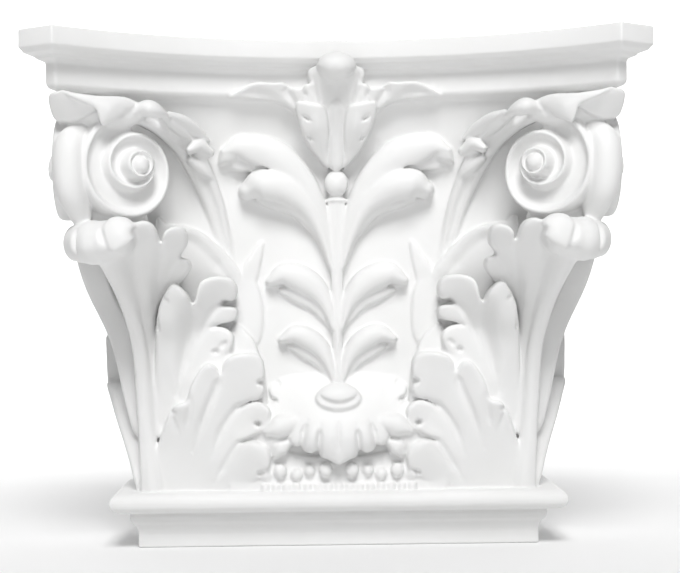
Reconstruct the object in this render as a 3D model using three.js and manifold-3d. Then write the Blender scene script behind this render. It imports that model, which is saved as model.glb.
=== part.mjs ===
// Corinthian pilaster capital, one casting.
// Millimetres, +Z up. The front faces -Y, the flat back is the wall side at +Y.
// Everything is first laid out from the front plane of the shaft (y = 0 there, the wall at
// y = SHAFT_DEPTH) and is centred on the origin at the end.
import * as THREE from 'three';
import { mergeVertices } from 'three/addons/utils/BufferGeometryUtils.js';
import Module from 'manifold-3d';

const wasm = await Module();
wasm.setup();

// ---- driving dimensions -------------------------------------------------------------------
const HEIGHT = 248; // underside of the base to the top bed
const SHAFT_HALF = 100; // half the width of the pilaster shaft below
const SHAFT_DEPTH = 60; // front of the shaft to the wall
const CORNER_X = 129; // front corner of the abacus, from the middle
const CORNER_REACH = 75; // front corner of the abacus, in front of the shaft
const HORN_X = 146.5; // outer end of the abacus chamfer
const HORN_REACH = 63;
const ABACUS_SAGITTA = 48; // hollow of the abacus front
const ABACUS_WALL_X = 134; // half the width of the abacus at the wall
const LEAF_FOOT_Z = 27; // the leaves stand just inside the torus
const BELL_TOP_Z = 221; // where the flare of the bell ends, under the abacus
const VOLUTE_Z = 186.5;
const VOLUTE_RADIUS = 26;
const VOLUTE_EYE = 5;
const VOLUTE_TURNS = 2;
const VOLUTE_THICKNESS = 15;
const VOLUTE_RISE = 8; // how far the eye stands in front of the outer coil
const JOIN_TOLERANCE = 0.05; // edges shorter than this are closed up where pieces are joined
const FRONT_VOLUTE_TURN = 32; // degrees that the front scroll is turned from the shaft front

// ---- geometry helpers ---------------------------------------------------------------------
const lerp = THREE.MathUtils.lerp;

// Value of an evenly spaced list at t from 0 to 1.
function along(list, t) {
  const place = t * (list.length - 1);
  const i = Math.min(Math.floor(place), list.length - 2);
  return lerp(list[i], list[i + 1], place - i);
}

// 0 below start, 1 above end, a power curve between.
function ramp(value, start, end, power) {
  return Math.pow(THREE.MathUtils.clamp((value - start) / (end - start), 0, 1), power);
}

// A point in front of the shaft: across, up, and projection towards the front.
function front([x, z, projection]) {
  return new THREE.Vector3(x, -projection, z);
}

// The same point carried round the corner on to the side of the capital.
const SIDE_X = 104;
const SIDE_FLARE = 29;
const SIDE_FLARE_LENGTH = 25;
function side([x, z, projection]) {
  const out = SIDE_X + SIDE_FLARE * (1 - Math.exp(-projection / SIDE_FLARE_LENGTH));
  return new THREE.Vector3(out, (98 - x) * 0.95, z);
}

function signedVolume(points, faces) {
  let volume = 0;
  for (const [a, b, c] of faces) {
    volume += points[a].dot(new THREE.Vector3().crossVectors(points[b], points[c])) / 6;
  }
  return volume;
}

// Closed solid through rings of equal length; outline is a flat copy of a ring, for the caps.
function loft(rings, outline) {
  const count = rings[0].length;
  const points = rings.flat();
  const faces = [];
  for (let r = 0; r < rings.length - 1; r++) {
    for (let i = 0; i < count; i++) {
      const j = (i + 1) % count;
      const a = r * count;
      faces.push([a + i, a + j, a + count + j], [a + i, a + count + j, a + count + i]);
    }
  }
  const cap = THREE.ShapeUtils.triangulateShape(outline, []);
  const clockwise = THREE.ShapeUtils.isClockWise(outline);
  const last = (rings.length - 1) * count;
  for (const [a, b, c] of cap) {
    const [p, q] = clockwise ? [c, b] : [b, c];
    faces.push([a, q, p], [last + a, last + p, last + q]);
  }
  if (signedVolume(points, faces) < 0) {
    faces.forEach((face) => face.reverse());
  }
  const geometry = new THREE.BufferGeometry().setFromPoints(points);
  geometry.setIndex(faces.flat());
  return geometry;
}

function mirrored(geometry) {
  const copy = geometry.clone().scale(-1, 1, 1);
  const index = [...copy.index.array];
  for (let i = 0; i < index.length; i += 3) {
    [index[i + 1], index[i + 2]] = [index[i + 2], index[i + 1]];
  }
  return copy.setIndex(index);
}

function solid(geometry) {
  const bare = geometry.clone();
  bare.deleteAttribute('normal');
  bare.deleteAttribute('uv');
  const merged = mergeVertices(bare, 1e-3);
  const mesh = new wasm.Mesh({
    numProp: 3,
    vertProperties: new Float32Array(merged.attributes.position.array),
    triVerts: new Uint32Array(merged.index.array),
    tolerance: JOIN_TOLERANCE,
  });
  return new wasm.Manifold(mesh);
}

function join(geometries) {
  return geometries.map(solid).reduce((whole, piece) => whole.add(piece));
}

// The casting is solid all through: only its outer skin is kept, without closed pockets.
function outerSkin(whole) {
  return whole.decompose().reduce((best, body) => (body.volume() > best.volume() ? body : best));
}

function geometryOf(body) {
  const mesh = body.getMesh();
  const geometry = new THREE.BufferGeometry();
  geometry.setAttribute('position', new THREE.BufferAttribute(new Float32Array(mesh.vertProperties), 3));
  return geometry.setIndex(new THREE.BufferAttribute(new Uint32Array(mesh.triVerts), 1));
}

// ---- a leaf finger: a blade swept along a curve, domed in front ------------------------------
const DOMED = [[-1, -1], [-1, 0], [-0.5, 0.85], [0.5, 0.85], [1, 0], [1, -1]];
const RIDGED = [[-1, -1], [-1, 0], [0, 1], [1, 0], [1, -1]];
const CHANNELLED = [[-1, -1], [-1, 0.4], [-0.6, 1], [0, 0.2], [0.6, 1], [1, 0.4], [1, -1]];

// path: points from root to tip; halfWidth: list along the path; rise and back: how far the
// section stands in front of the path and reaches behind it; outward: the side that is seen.
function blade({ path, halfWidth, rise = 2.5, back = 6, steps = 3, section = DOMED, outward }) {
  const curve = new THREE.CatmullRomCurve3(path, false, 'centripetal');
  const rings = [];
  let across = null;
  for (let i = 0; i <= steps; i++) {
    const t = i / steps;
    const tangent = curve.getTangent(t);
    across = across ?? new THREE.Vector3().crossVectors(tangent, outward);
    across.addScaledVector(tangent, -across.dot(tangent)).normalize();
    const normal = new THREE.Vector3().crossVectors(across, tangent).normalize();
    const width = along(halfWidth, t);
    const slim = i === steps ? 0.5 : 1;
    rings.push(section.map(([a, b]) => curve.getPoint(t)
      .addScaledVector(across, a * width)
      .addScaledVector(normal, b * slim * (b < 0 ? back : rise))));
  }
  return loft(rings, section.map(([a, b]) => new THREE.Vector2(a, b)));
}

const FORWARD = new THREE.Vector3(0, -1, 0);
const SIDEWAYS = new THREE.Vector3(1, 0, 0);

function frontBlade(path, halfWidth, options = {}) {
  return blade({ path: path.map(front), halfWidth, outward: FORWARD, ...options });
}

function sideBlade(path, halfWidth, options = {}) {
  return blade({ path: path.map(side), halfWidth, outward: SIDEWAYS, ...options });
}

// ---- mouldings --------------------------------------------------------------------------------
// Plan outline moved inwards by inset; the wall edge, between the last and first points, stays.
function insetPlan(plan, inset) {
  const count = plan.length;
  return plan.map((here, i) => {
    const before = plan[(i + count - 1) % count];
    const after = plan[(i + 1) % count];
    const edges = [[before, here, i === 0 ? 0 : inset], [here, after, i === count - 1 ? 0 : inset]];
    const [first, second] = edges.map(([a, b, move]) => {
      const way = new THREE.Vector2().subVectors(b, a).normalize();
      return { nx: -way.y, ny: way.x, move };
    });
    const det = first.nx * second.ny - first.ny * second.nx;
    if (Math.abs(det) < 0.02) {
      return new THREE.Vector2(here.x + first.nx * inset, here.y + first.ny * inset);
    }
    const dx = (first.move * second.ny - second.move * first.ny) / det;
    const dy = (first.nx * second.move - second.nx * first.move) / det;
    return new THREE.Vector2(here.x + dx, here.y + dy);
  });
}

// Moulding that runs along a plan: profile rows are [inset, height].
function runMoulding(plan, profile) {
  const rings = profile.map(([inset, z]) => (
    insetPlan(plan, inset).map((point) => new THREE.Vector3(point.x, point.y, z))));
  return loft(rings, plan);
}

// Points of a circular arc from start to end that bulges to the left by sagitta.
function arcPoints(start, end, sagitta, segments) {
  const chord = new THREE.Vector2().subVectors(end, start);
  const half = chord.length() / 2;
  const radius = (half * half + sagitta * sagitta) / (2 * sagitta);
  const across = new THREE.Vector2(-chord.y, chord.x).normalize();
  const centre = new THREE.Vector2().addVectors(start, end).multiplyScalar(0.5)
    .addScaledVector(across, sagitta - radius);
  const sweep = 2 * Math.asin(half / radius);
  const points = [];
  for (let i = 0; i <= segments; i++) {
    const turn = -sweep * (i / segments);
    points.push(start.clone().sub(centre).rotateAround(new THREE.Vector2(), turn).add(centre));
  }
  return points;
}

function abacus() {
  const corner = new THREE.Vector2(CORNER_X, -CORNER_REACH);
  const horn = new THREE.Vector2(HORN_X, -HORN_REACH);
  const wall = new THREE.Vector2(ABACUS_WALL_X, SHAFT_DEPTH);
  const flip = (point) => new THREE.Vector2(-point.x, point.y);
  const sideHollow = 4;
  const right = arcPoints(horn, wall, sideHollow, 2);
  const left = right.map(flip).reverse();
  const hollow = arcPoints(flip(corner), corner, ABACUS_SAGITTA, 14);
  const plan = [...left, ...hollow, ...right];
  const profile = [
    [16, 28.2], [11.6, 26.8], [10.4, 25], [10.4, 15.4], [9.4, 14], [6.3, 13.3],
    [6.3, 12], [1.6, 10.9], [1.2, 9.6], [0, 8.8], [0, 0],
  ];
  return runMoulding(plan, profile.map(([inset, drop]) => [inset, HEIGHT - drop]));
}

function base() {
  const plan = [
    new THREE.Vector2(-SHAFT_HALF, SHAFT_DEPTH),
    new THREE.Vector2(-SHAFT_HALF, 0),
    new THREE.Vector2(SHAFT_HALF, 0),
    new THREE.Vector2(SHAFT_HALF, SHAFT_DEPTH),
  ];
  const fascia = [[0, 0], [0, 7.6]];
  const cavetto = [[-0.4, 9], [-1.2, 11.2], [-3.2, 13.2]];
  const beadMoulding = [[-3.4, 14.2], [-4, 15.8], [-3.2, 17.6]];
  const torusRadius = 4.8;
  const torusCentre = [-8.4, 23.2];
  const torus = [-90, -45, 0, 45, 90].map((degrees) => {
    const angle = THREE.MathUtils.degToRad(degrees);
    return [
      torusCentre[0] - torusRadius * Math.cos(angle),
      torusCentre[1] + torusRadius * Math.sin(angle),
    ];
  });
  return runMoulding(plan, [...fascia, ...cavetto, ...beadMoulding, ...torus]);
}

// ---- bell: from the block above the torus to the flared lip under the abacus ---------------------
function bell() {
  const frontSteps = 6;
  const buriedTop = 234.2;
  const rings = [LEAF_FOOT_Z, 90, 120, 145, 170, 190, 207, BELL_TOP_Z, buriedTop].map((z) => {
    const cornerX = 89 + 27 * ramp(z, 90, BELL_TOP_Z, 1.6);
    const cornerOut = 47 * ramp(z, 90, BELL_TOP_Z, 1.8);
    const middleOut = 13 * ramp(z, 150, BELL_TOP_Z, 2.2);
    const sideX = 100 + 16 * ramp(z, 90, BELL_TOP_Z, 1.4);
    const ring = [[-sideX, SHAFT_DEPTH], [-sideX, 10 - cornerOut * 0.6]];
    for (let i = 0; i <= frontSteps; i++) {
      const share = -1 + (2 * i) / frontSteps;
      const out = lerp(middleOut, cornerOut, Math.pow(Math.abs(share), 2.4));
      ring.push([share * cornerX, -out]);
    }
    ring.push([sideX, 10 - cornerOut * 0.6], [sideX, SHAFT_DEPTH]);
    return ring.map(([x, y]) => new THREE.Vector3(x, y, z));
  });
  return loft(rings, rings[0].map((point) => new THREE.Vector2(point.x, point.y)));
}

// ---- volutes ------------------------------------------------------------------------------------------
function spiralRadius(turn) {
  const share = turn / VOLUTE_TURNS;
  return VOLUTE_EYE + (VOLUTE_RADIUS - VOLUTE_EYE) * (1 - Math.pow(share, 1.15));
}

// A scroll in its own frame: nose is the level direction to the horn, face is what it looks along.
function volute(centre, nose, face, rollSteps) {
  const up = new THREE.Vector3(0, 0, 1);
  const place = (radius, turn, height) => {
    const angle = Math.PI / 2 - turn * 2 * Math.PI;
    return centre.clone()
      .addScaledVector(nose, radius * Math.cos(angle))
      .addScaledVector(up, radius * Math.sin(angle))
      .addScaledVector(face, height);
  };
  const lift = (turn) => VOLUTE_RISE * THREE.MathUtils.smoothstep(turn, 0.6, VOLUTE_TURNS);
  const disc = (fromTurn, bottom, top) => {
    const steps = rollSteps / VOLUTE_TURNS;
    const turns = Array.from({ length: steps }, (_, i) => fromTurn + i / steps);
    const rings = [bottom, top].map((height) => (
      turns.map((turn) => place(spiralRadius(turn) - 0.6, turn, height))));
    return loft(rings, turns.map((turn) => {
      const angle = -turn * 2 * Math.PI;
      return new THREE.Vector2(Math.cos(angle), Math.sin(angle))
        .multiplyScalar(spiralRadius(turn));
    }));
  };
  const roll = [[0, -2.5], [-1.2, 2.4], [-4.6, -2.5]];
  const rings = [];
  for (let i = 0; i <= rollSteps; i++) {
    const turn = (VOLUTE_TURNS * i) / rollSteps;
    const shrink = lerp(1, 0.6, i / rollSteps);
    rings.push(roll.map(([inwards, height]) => (
      place(spiralRadius(turn) + inwards * shrink, turn, height * shrink + lift(turn)))));
  }
  const eye = new THREE.SphereGeometry(VOLUTE_EYE + 1, 7, 5);
  const eyePlace = place(0, 0, VOLUTE_RISE - 1);
  eye.translate(eyePlace.x, eyePlace.y, eyePlace.z);
  return [
    disc(0, -VOLUTE_THICKNESS, 0),
    loft(rings, roll.map(([a, b]) => new THREE.Vector2(a, b))),
    eye,
  ];
}

function cornerVolutes() {
  const turn = THREE.MathUtils.degToRad(FRONT_VOLUTE_TURN);
  const frontCentre = front([100.5, VOLUTE_Z, 47]);
  const frontNose = new THREE.Vector3(Math.cos(turn), -Math.sin(turn), 0);
  const frontFace = new THREE.Vector3(-Math.sin(turn), -Math.cos(turn), 0);
  const sideCentre = front([131, VOLUTE_Z, 30]);
  return [
    ...volute(frontCentre, frontNose, frontFace, 18),
    ...volute(sideCentre, FORWARD, SIDEWAYS, 12),
  ];
}

// The ribbed stalks that rise out of the calyx and roll into the scrolls.
function voluteStalks() {
  const path = [[55, 148, 3], [60, 173, 9], [72, 198, 24], [83, 207, 38], [97, 210, 46]];
  const sidePath = [[84, 150, 14], [90, 178, 26], [96, 200, 40], [84, 210, 50]];
  const shape = { section: CHANNELLED, rise: 3.5, back: 9 };
  return [
    frontBlade(path, [4, 4.5, 5, 5, 4], { ...shape, steps: 5 }),
    sideBlade(sidePath, [5, 5, 5, 4], { ...shape, section: RIDGED }),
  ];
}

// Leaves between the scrolls and the abacus.
function scrollLeaves() {
  const slim = { steps: 2, section: RIDGED };
  return [
    frontBlade([[96, 211, 54], [108, 214, 60], [118, 214, 64], [127, 208, 64]], [3, 5, 5, 2]),
    frontBlade([[98, 214, 56], [105, 209, 60], [109, 204, 60]], [3, 5, 2], slim),
    frontBlade([[94, 210.5, 51], [88, 212.6, 51], [82.6, 209, 45]], [3, 4.5, 2], slim),
    frontBlade([[83, 211, 42], [74, 206, 31], [66.5, 199, 21]], [2.5, 4, 2.5], slim),
    frontBlade([[69, 200, 22], [65, 192, 18], [60, 183, 13]], [3, 4.5, 1.5], slim),
    sideBlade([[88, 212, 46], [60, 210, 40], [48, 204, 30]], [4, 6, 2], slim),
  ];
}

// ---- acanthus at the corners ------------------------------------------------------------------------------
// Rib on the corner, rolled over at the top below the scrolls.
function cornerRib() {
  const diagonal = new THREE.Vector3(1, -1.8, 0).normalize();
  const path = [
    [96, 24, -2], [98, 62, 2], [99, 97, 12], [103, 124, 30], [107, 144, 47], [110, 155, 55],
    [114, 155, 63], [116, 146, 66],
  ];
  return [blade({
    path: path.map(front),
    halfWidth: [6, 5.5, 5, 6, 9, 12, 12, 5],
    rise: 3,
    back: 9,
    steps: 7,
    outward: diagonal,
  })];
}

// Half of the leaf, from the corner rib to the middle of a face. Each finger has its way from
// root to tip, as [across, height, projection], and its half widths.
const HALF_LEAF = {
  upper: [
    { way: [[93, 50, 1], [94, 95, 11], [93, 128, 35], [91, 150, 56], [90, 157, 64]], width: [4, 6, 8, 8, 5] },
    { way: [[90, 50, 1], [89, 95, 9], [84, 126, 29], [78, 148, 46], [76, 155, 54]], width: [4, 6, 7, 7, 4] },
    { way: [[88, 75, 4], [84, 110, 16], [76, 133, 31], [71, 141, 39]], width: [4, 6, 5, 2.5] },
  ],
  middle: [
    { way: [[83, 45, 2], [83, 90, 9], [80, 118, 20], [78, 128, 28]], width: [5, 6, 6, 4] },
    { way: [[81, 45, 2], [77, 85, 8], [66, 118, 16], [59, 131, 24]], width: [5, 7, 9, 7] },
    { way: [[76, 75, 5], [65, 105, 11], [53, 119, 17]], width: [4, 5, 2.5] },
    { way: [[76, 60, 4], [68, 90, 10], [60, 104, 14], [53, 102, 16]], width: [5, 7, 5, 2.5] },
  ],
  lower: [
    { way: [[72, 24, 1], [76, 50, 8], [75, 68, 15]], width: [6, 8, 5] },
    { way: [[67, 24, 1], [67, 60, 9], [63, 87, 17]], width: [5, 7, 5] },
    { way: [[64, 24, 1], [57, 62, 9], [46, 92, 20]], width: [6, 9, 8] },
    { way: [[62, 26, 2], [52, 56, 9], [42, 69, 14], [35, 66, 15]], width: [5, 7, 5, 2] },
    { way: [[60, 22, 2], [50, 40, 8], [41, 50, 12], [35, 46, 12]], width: [5, 8, 6, 2] },
  ],
};

const SIDE_FINGERS = 3; // the sides are plainer: each tier has this many fingers there

function cornerLeaf() {
  const pieces = cornerRib();
  for (const fingers of Object.values(HALF_LEAF)) {
    for (const [place, { way, width }] of fingers.entries()) {
      pieces.push(frontBlade(way, width, { back: 9, section: RIDGED }));
      if (place < SIDE_FINGERS) {
        pieces.push(sideBlade(way, width, { back: 9, steps: 2, section: RIDGED }));
      }
    }
  }
  return pieces;
}

// Sheath behind the corner leaf, out of which the scroll stalk grows, and its spur.
function calyx() {
  return [
    frontBlade([[60, 90, 0], [60, 125, 3], [65, 158, 12]], [14, 15, 10], { back: 5, steps: 3 }),
    frontBlade([[45, 128, 1], [42, 143, 2], [37, 152, 2]], [4, 4, 1], { back: 4, steps: 2 }),
    frontBlade([[46, 92, 0], [45, 115, 2], [40, 131, 2]], [7, 7, 3], { back: 4, steps: 2 }),
  ];
}

// ---- stem in the middle with its three pairs of leaves --------------------------------------------------------
const STEM_LEAVES = [
  { way: [[3, 138, 2], [10, 162, 6], [25, 178, 12], [38, 182, 15], [47, 178, 15]], width: [2, 5, 8, 6, 2] },
  { way: [[4, 152, 3], [14, 180, 8], [32, 193, 13], [48, 197, 15], [59, 193, 12]], width: [3, 6, 8, 6, 2] },
  { way: [[47, 197, 12], [52, 188, 12]], width: [3.5, 2], steps: 1 },
  { way: [[10, 155, 2], [22, 166, 4], [36, 171, 5]], width: [2, 3.5, 2], steps: 3 },
  { way: [[2, 108, 2], [10, 128, 5], [21, 138, 9], [34, 131, 9]], width: [2, 5, 6, 2] },
  { way: [[8, 117, 2], [20, 127, 4]], width: [2.5, 2.5], steps: 1 },
  { way: [[2, 83, 2], [8, 99, 5], [17, 107, 8], [28, 104, 7]], width: [2, 4, 5, 2] },
  { way: [[8, 93, 2], [19, 100, 4]], width: [2.5, 2], steps: 1 },
];

function stemLeaves() {
  return STEM_LEAVES.map(({ way, width, steps = 3 }) => (
    frontBlade(way, width, { rise: 3, back: 5, steps, section: RIDGED })));
}

function stem() {
  const bead = new THREE.SphereGeometry(6, 8, 6).scale(1, 1.2, 1.1).translate(0, -4, 180.4);
  return [
    frontBlade([[0, 78, 3], [0, 130, 4], [0, 173, 5]], [1.8, 2.6, 5], { rise: 2, steps: 3 }),
    bead,
  ];
}

// ---- fleuron on the middle of the abacus -------------------------------------------------------------------------
function fleuronHalf() {
  return [
    frontBlade([[5, 194, 8], [14, 208, 14], [26, 221, 20], [38, 224, 20], [50, 221, 17]], [2, 4, 5, 4, 1]),
    frontBlade([[4, 188, 7], [9, 204, 16], [12, 216, 22]], [2, 6, 7], { steps: 3 }),
    frontBlade([[8, 205, 14], [11, 222, 22], [13, 234, 28]], [4, 5, 3.5], { steps: 3 }),
  ];
}

function fleuronMiddle() {
  const tip = new THREE.SphereGeometry(1, 10, 6).scale(8.8, 7.5, 5.4).translate(0, -33, 236);
  return [
    frontBlade([[0, 190, 8], [0, 210, 17], [0, 226, 23], [0, 236, 30]], [4, 9, 12, 8], { back: 12 }),
    tip,
  ];
}

// ---- turned-down leaf at the foot, with the cup of the stem on it ---------------------------------------------------------
function footLeaf() {
  const fingers = [
    { x: 0, tip: 42, width: 9 },
    { x: 13, tip: 47.5, width: 5.5 },
    { x: 21.5, tip: 49, width: 5 },
    { x: 30, tip: 50, width: 6 },
  ];
  const pieces = [];
  for (const { x, tip, width } of fingers) {
    const way = [[x * 0.5, 85, 0], [x * 0.85, 79, 11], [x, 64, 17], [x, tip + 5, 16], [x, tip, 13]];
    const blades = frontBlade(way, [4, width, width, width, width * 0.5], { back: 8, section: RIDGED });
    pieces.push(blades);
    if (x > 0) {
      pieces.push(mirrored(blades));
    }
  }
  const cup = new THREE.CylinderGeometry(11.5, 12, 10, 14).scale(1, 1, 0.66)
    .rotateX(Math.PI / 2 + 0.5).translate(0, -12, 74);
  const behind = new THREE.BoxGeometry(76, 10, 55).translate(0, 0, 53.7);
  pieces.push(cup, behind);
  return pieces;
}

// Small knobs and flutes on the block below the turned-down leaf.
function footBlock() {
  const pieces = [];
  for (const x of [-30, -20, -9, 9, 20, 30]) {
    pieces.push(frontBlade([[x, 24, 5], [x, 38, 7]], [3.4, 3], { rise: 2, back: 5, steps: 1 }));
  }
  return pieces;
}

// ---- the casting ---------------------------------------------------------------------------------------------
function capital() {
  const right = [
    ...cornerVolutes(),
    ...voluteStalks(),
    ...scrollLeaves(),
    ...cornerLeaf(),
    ...calyx(),
    ...stemLeaves(),
    ...fleuronHalf(),
  ];
  const middle = [abacus(), base(), bell(), ...stem(), ...fleuronMiddle(), ...footLeaf(), ...footBlock()];
  const whole = join([...middle, ...right, ...right.map(mirrored)]);
  const wallBlock = new THREE.BoxGeometry(400, 40, 400).translate(0, SHAFT_DEPTH + 20, HEIGHT / 2);
  const trimmed = geometryOf(outerSkin(whole.subtract(solid(wallBlock))));
  trimmed.translate(0, (CORNER_REACH - SHAFT_DEPTH) / 2, 0);
  const geometry = geometryOf(outerSkin(solid(trimmed)));
  geometry.computeVertexNormals();
  const mesh = new THREE.Mesh(geometry, new THREE.MeshStandardMaterial({
    color: 0xf1f0ed,
    roughness: 0.55,
    metalness: 0,
  }));
  mesh.name = 'capital';
  return mesh;
}

const root = new THREE.Group();
root.add(capital());

export default root;
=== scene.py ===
"""Corinthian pilaster capital: one white casting, carved in the round from named sizes.

The casting is laid out in millimetres from the front plane of the pilaster shaft: x across,
projection towards the viewer, z up from the underside. It is kept as signed distances on a
regular grid, so leaves, scrolls and mouldings melt into each other as they do in a mould.
"""

import logging
import math
from dataclasses import dataclass, field, replace
from enum import Enum
from typing import Protocol

import bpy
import numpy as np
import openvdb
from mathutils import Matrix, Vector


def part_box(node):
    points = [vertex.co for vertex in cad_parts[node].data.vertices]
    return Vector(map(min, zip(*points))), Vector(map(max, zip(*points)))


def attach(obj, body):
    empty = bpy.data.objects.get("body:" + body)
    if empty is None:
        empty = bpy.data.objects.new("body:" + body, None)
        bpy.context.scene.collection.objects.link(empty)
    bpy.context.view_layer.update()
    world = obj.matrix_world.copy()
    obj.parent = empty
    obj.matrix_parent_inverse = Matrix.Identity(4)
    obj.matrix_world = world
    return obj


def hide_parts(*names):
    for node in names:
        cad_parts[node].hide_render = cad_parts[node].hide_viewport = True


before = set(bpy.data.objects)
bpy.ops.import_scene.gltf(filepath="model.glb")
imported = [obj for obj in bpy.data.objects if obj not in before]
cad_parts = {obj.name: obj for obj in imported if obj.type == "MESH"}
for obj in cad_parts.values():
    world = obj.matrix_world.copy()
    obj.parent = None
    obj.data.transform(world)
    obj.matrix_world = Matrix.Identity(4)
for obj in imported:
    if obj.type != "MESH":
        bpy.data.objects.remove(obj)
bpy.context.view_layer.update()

log = logging.getLogger("capital")

MM = 0.001
NODE = "capital"
FAR = 4.0  # distances are kept up to this far from the surface

Points2 = tuple[tuple[float, float], ...]
Points3 = tuple[tuple[float, float, float], ...]
Window = tuple[np.ndarray, np.ndarray, np.ndarray]


# ---- curves and blends -------------------------------------------------------------------------
def soft_min(first: np.ndarray, second: np.ndarray, blend: float) -> np.ndarray:
    """Union of two distance fields that melt together over the blend width.

    Args:
        first: Distances to the first form.
        second: Distances to the second form.
        blend: Width of the melt; 0 keeps a sharp crease.

    Returns:
        Distances to the joined form.
    """
    if blend <= 0:
        return np.minimum(first, second)
    share = np.maximum(blend - np.abs(first - second), 0) / blend
    return np.minimum(first, second) - share * share * blend / 4


def soft_max(first: np.ndarray, second: np.ndarray, blend: float) -> np.ndarray:
    """Common part of two distance fields, with its edge rounded over the blend width."""
    return -soft_min(-first, -second, blend)


def ramp(value: np.ndarray, start: float, end: float, power: float) -> np.ndarray:
    """0 below start, 1 above end, and a power curve between them."""
    return np.clip((value - start) / (end - start), 0, 1) ** power


def spline(points: Points3 | Points2 | tuple[float, ...], count: int, closed: bool = False) -> np.ndarray:
    """Evenly parted Catmull-Rom curve through the points.

    Args:
        points: Points, or plain numbers, that the curve passes through.
        count: How many points to return.
        closed: Whether the curve runs on to its start.

    Returns:
        An array with one row for each point.
    """
    knots = np.asarray(points, float)
    knots = knots.reshape(len(knots), -1)
    if closed:
        padded = np.vstack([knots[-1:], knots, knots[:2]])
        spans = len(knots)
    else:
        padded = np.vstack([2 * knots[0] - knots[1], knots, 2 * knots[-1] - knots[-2]])
        spans = len(knots) - 1
    place = np.linspace(0, spans, count, endpoint=not closed)
    index = np.minimum(place.astype(int), spans - 1)
    t = (place - index)[:, None]
    a, b, c, d = (padded[index + step] for step in range(4))
    return 0.5 * (2 * b + (c - a) * t + (2 * a - 5 * b + 4 * c - d) * t**2 + (3 * b - a - 3 * c + d) * t**3)


def nearest_on_way(across: np.ndarray, height: np.ndarray, way: np.ndarray) -> tuple[np.ndarray, np.ndarray, np.ndarray]:
    """Nearest place on a drawn line for every point of a face.

    Args:
        across: Places across the face, as a column.
        height: Heights, as a row.
        way: Points of the line.

    Returns:
        The distance to the line, the side of it (-1 or 1), and how far along it that is, 0 to 1.
    """
    shape = np.broadcast_shapes(across.shape, height.shape)
    best = np.full(shape, np.inf)
    hand = np.ones(shape)
    share = np.zeros(shape)
    last = len(way) - 1
    for number, (start, end) in enumerate(zip(way[:-1], way[1:])):
        step = end - start
        length2 = max(float(step @ step), 1e-9)
        da, dh = across - start[0], height - start[1]
        t = np.clip((da * step[0] + dh * step[1]) / length2, 0, 1)
        ra, rh = da - t * step[0], dh - t * step[1]
        square = ra * ra + rh * rh
        closer = square < best
        best = np.where(closer, square, best)
        hand = np.where(closer, np.sign(step[0] * dh - step[1] * da), hand)
        share = np.where(closer, (number + t) / last, share)
    return np.sqrt(best), hand, share


def outline_distance(across: np.ndarray, height: np.ndarray, outline: np.ndarray) -> np.ndarray:
    """Distance to a closed outline, negative inside it."""
    ring = np.vstack([outline, outline[:1]])
    distance, _, _ = nearest_on_way(across, height, ring)
    inside = np.zeros(distance.shape, bool)
    for (a0, h0), (a1, h1) in zip(ring[:-1], ring[1:]):
        if h0 == h1:
            continue
        crosses = (h0 > height) != (h1 > height)
        inside ^= crosses & (across < (a1 - a0) * (height - h0) / (h1 - h0) + a0)
    return np.where(inside, -distance, distance)


def bent_sheet(points: Points3, across: np.ndarray, height: np.ndarray) -> np.ndarray:
    """Projection of a thin sheet bent through a few points.

    Args:
        points: Places (across, height, projection) that the sheet passes through.
        across: Places across the face, as a column.
        height: Heights, as a row.

    Returns:
        The projection at every place of the face.
    """
    knots = np.asarray(points, float)
    count = len(knots)

    def stiffness(square: np.ndarray) -> np.ndarray:
        return 0.5 * square * np.log(square + 1e-6)

    gap = knots[:, None, :2] - knots[None, :, :2]
    system = np.zeros((count + 3, count + 3))
    system[:count, :count] = stiffness((gap**2).sum(-1)) + np.eye(count) * 2.0
    system[:count, count:] = np.c_[np.ones(count), knots[:, :2]]
    system[count:, :count] = system[:count, count:].T
    weights = np.linalg.solve(system, np.r_[knots[:, 2], 0, 0, 0])
    sheet = weights[count] + weights[count + 1] * across + weights[count + 2] * height
    for (a, h, _), weight in zip(knots, weights):
        sheet = sheet + weight * stiffness((across - a) ** 2 + (height - h) ** 2)
    return sheet


# ---- the block of clay ---------------------------------------------------------------------------
class Form(Protocol):
    """Anything that can be pressed on to the clay or cut out of it."""

    def bounds(self) -> tuple[tuple[float, float, float], tuple[float, float, float]]:
        """Lowest and highest corners, as x, projection, z."""

    def distance(self, x: np.ndarray, p: np.ndarray, z: np.ndarray) -> np.ndarray:
        """Signed distance at every place of a window of the clay."""


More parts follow.
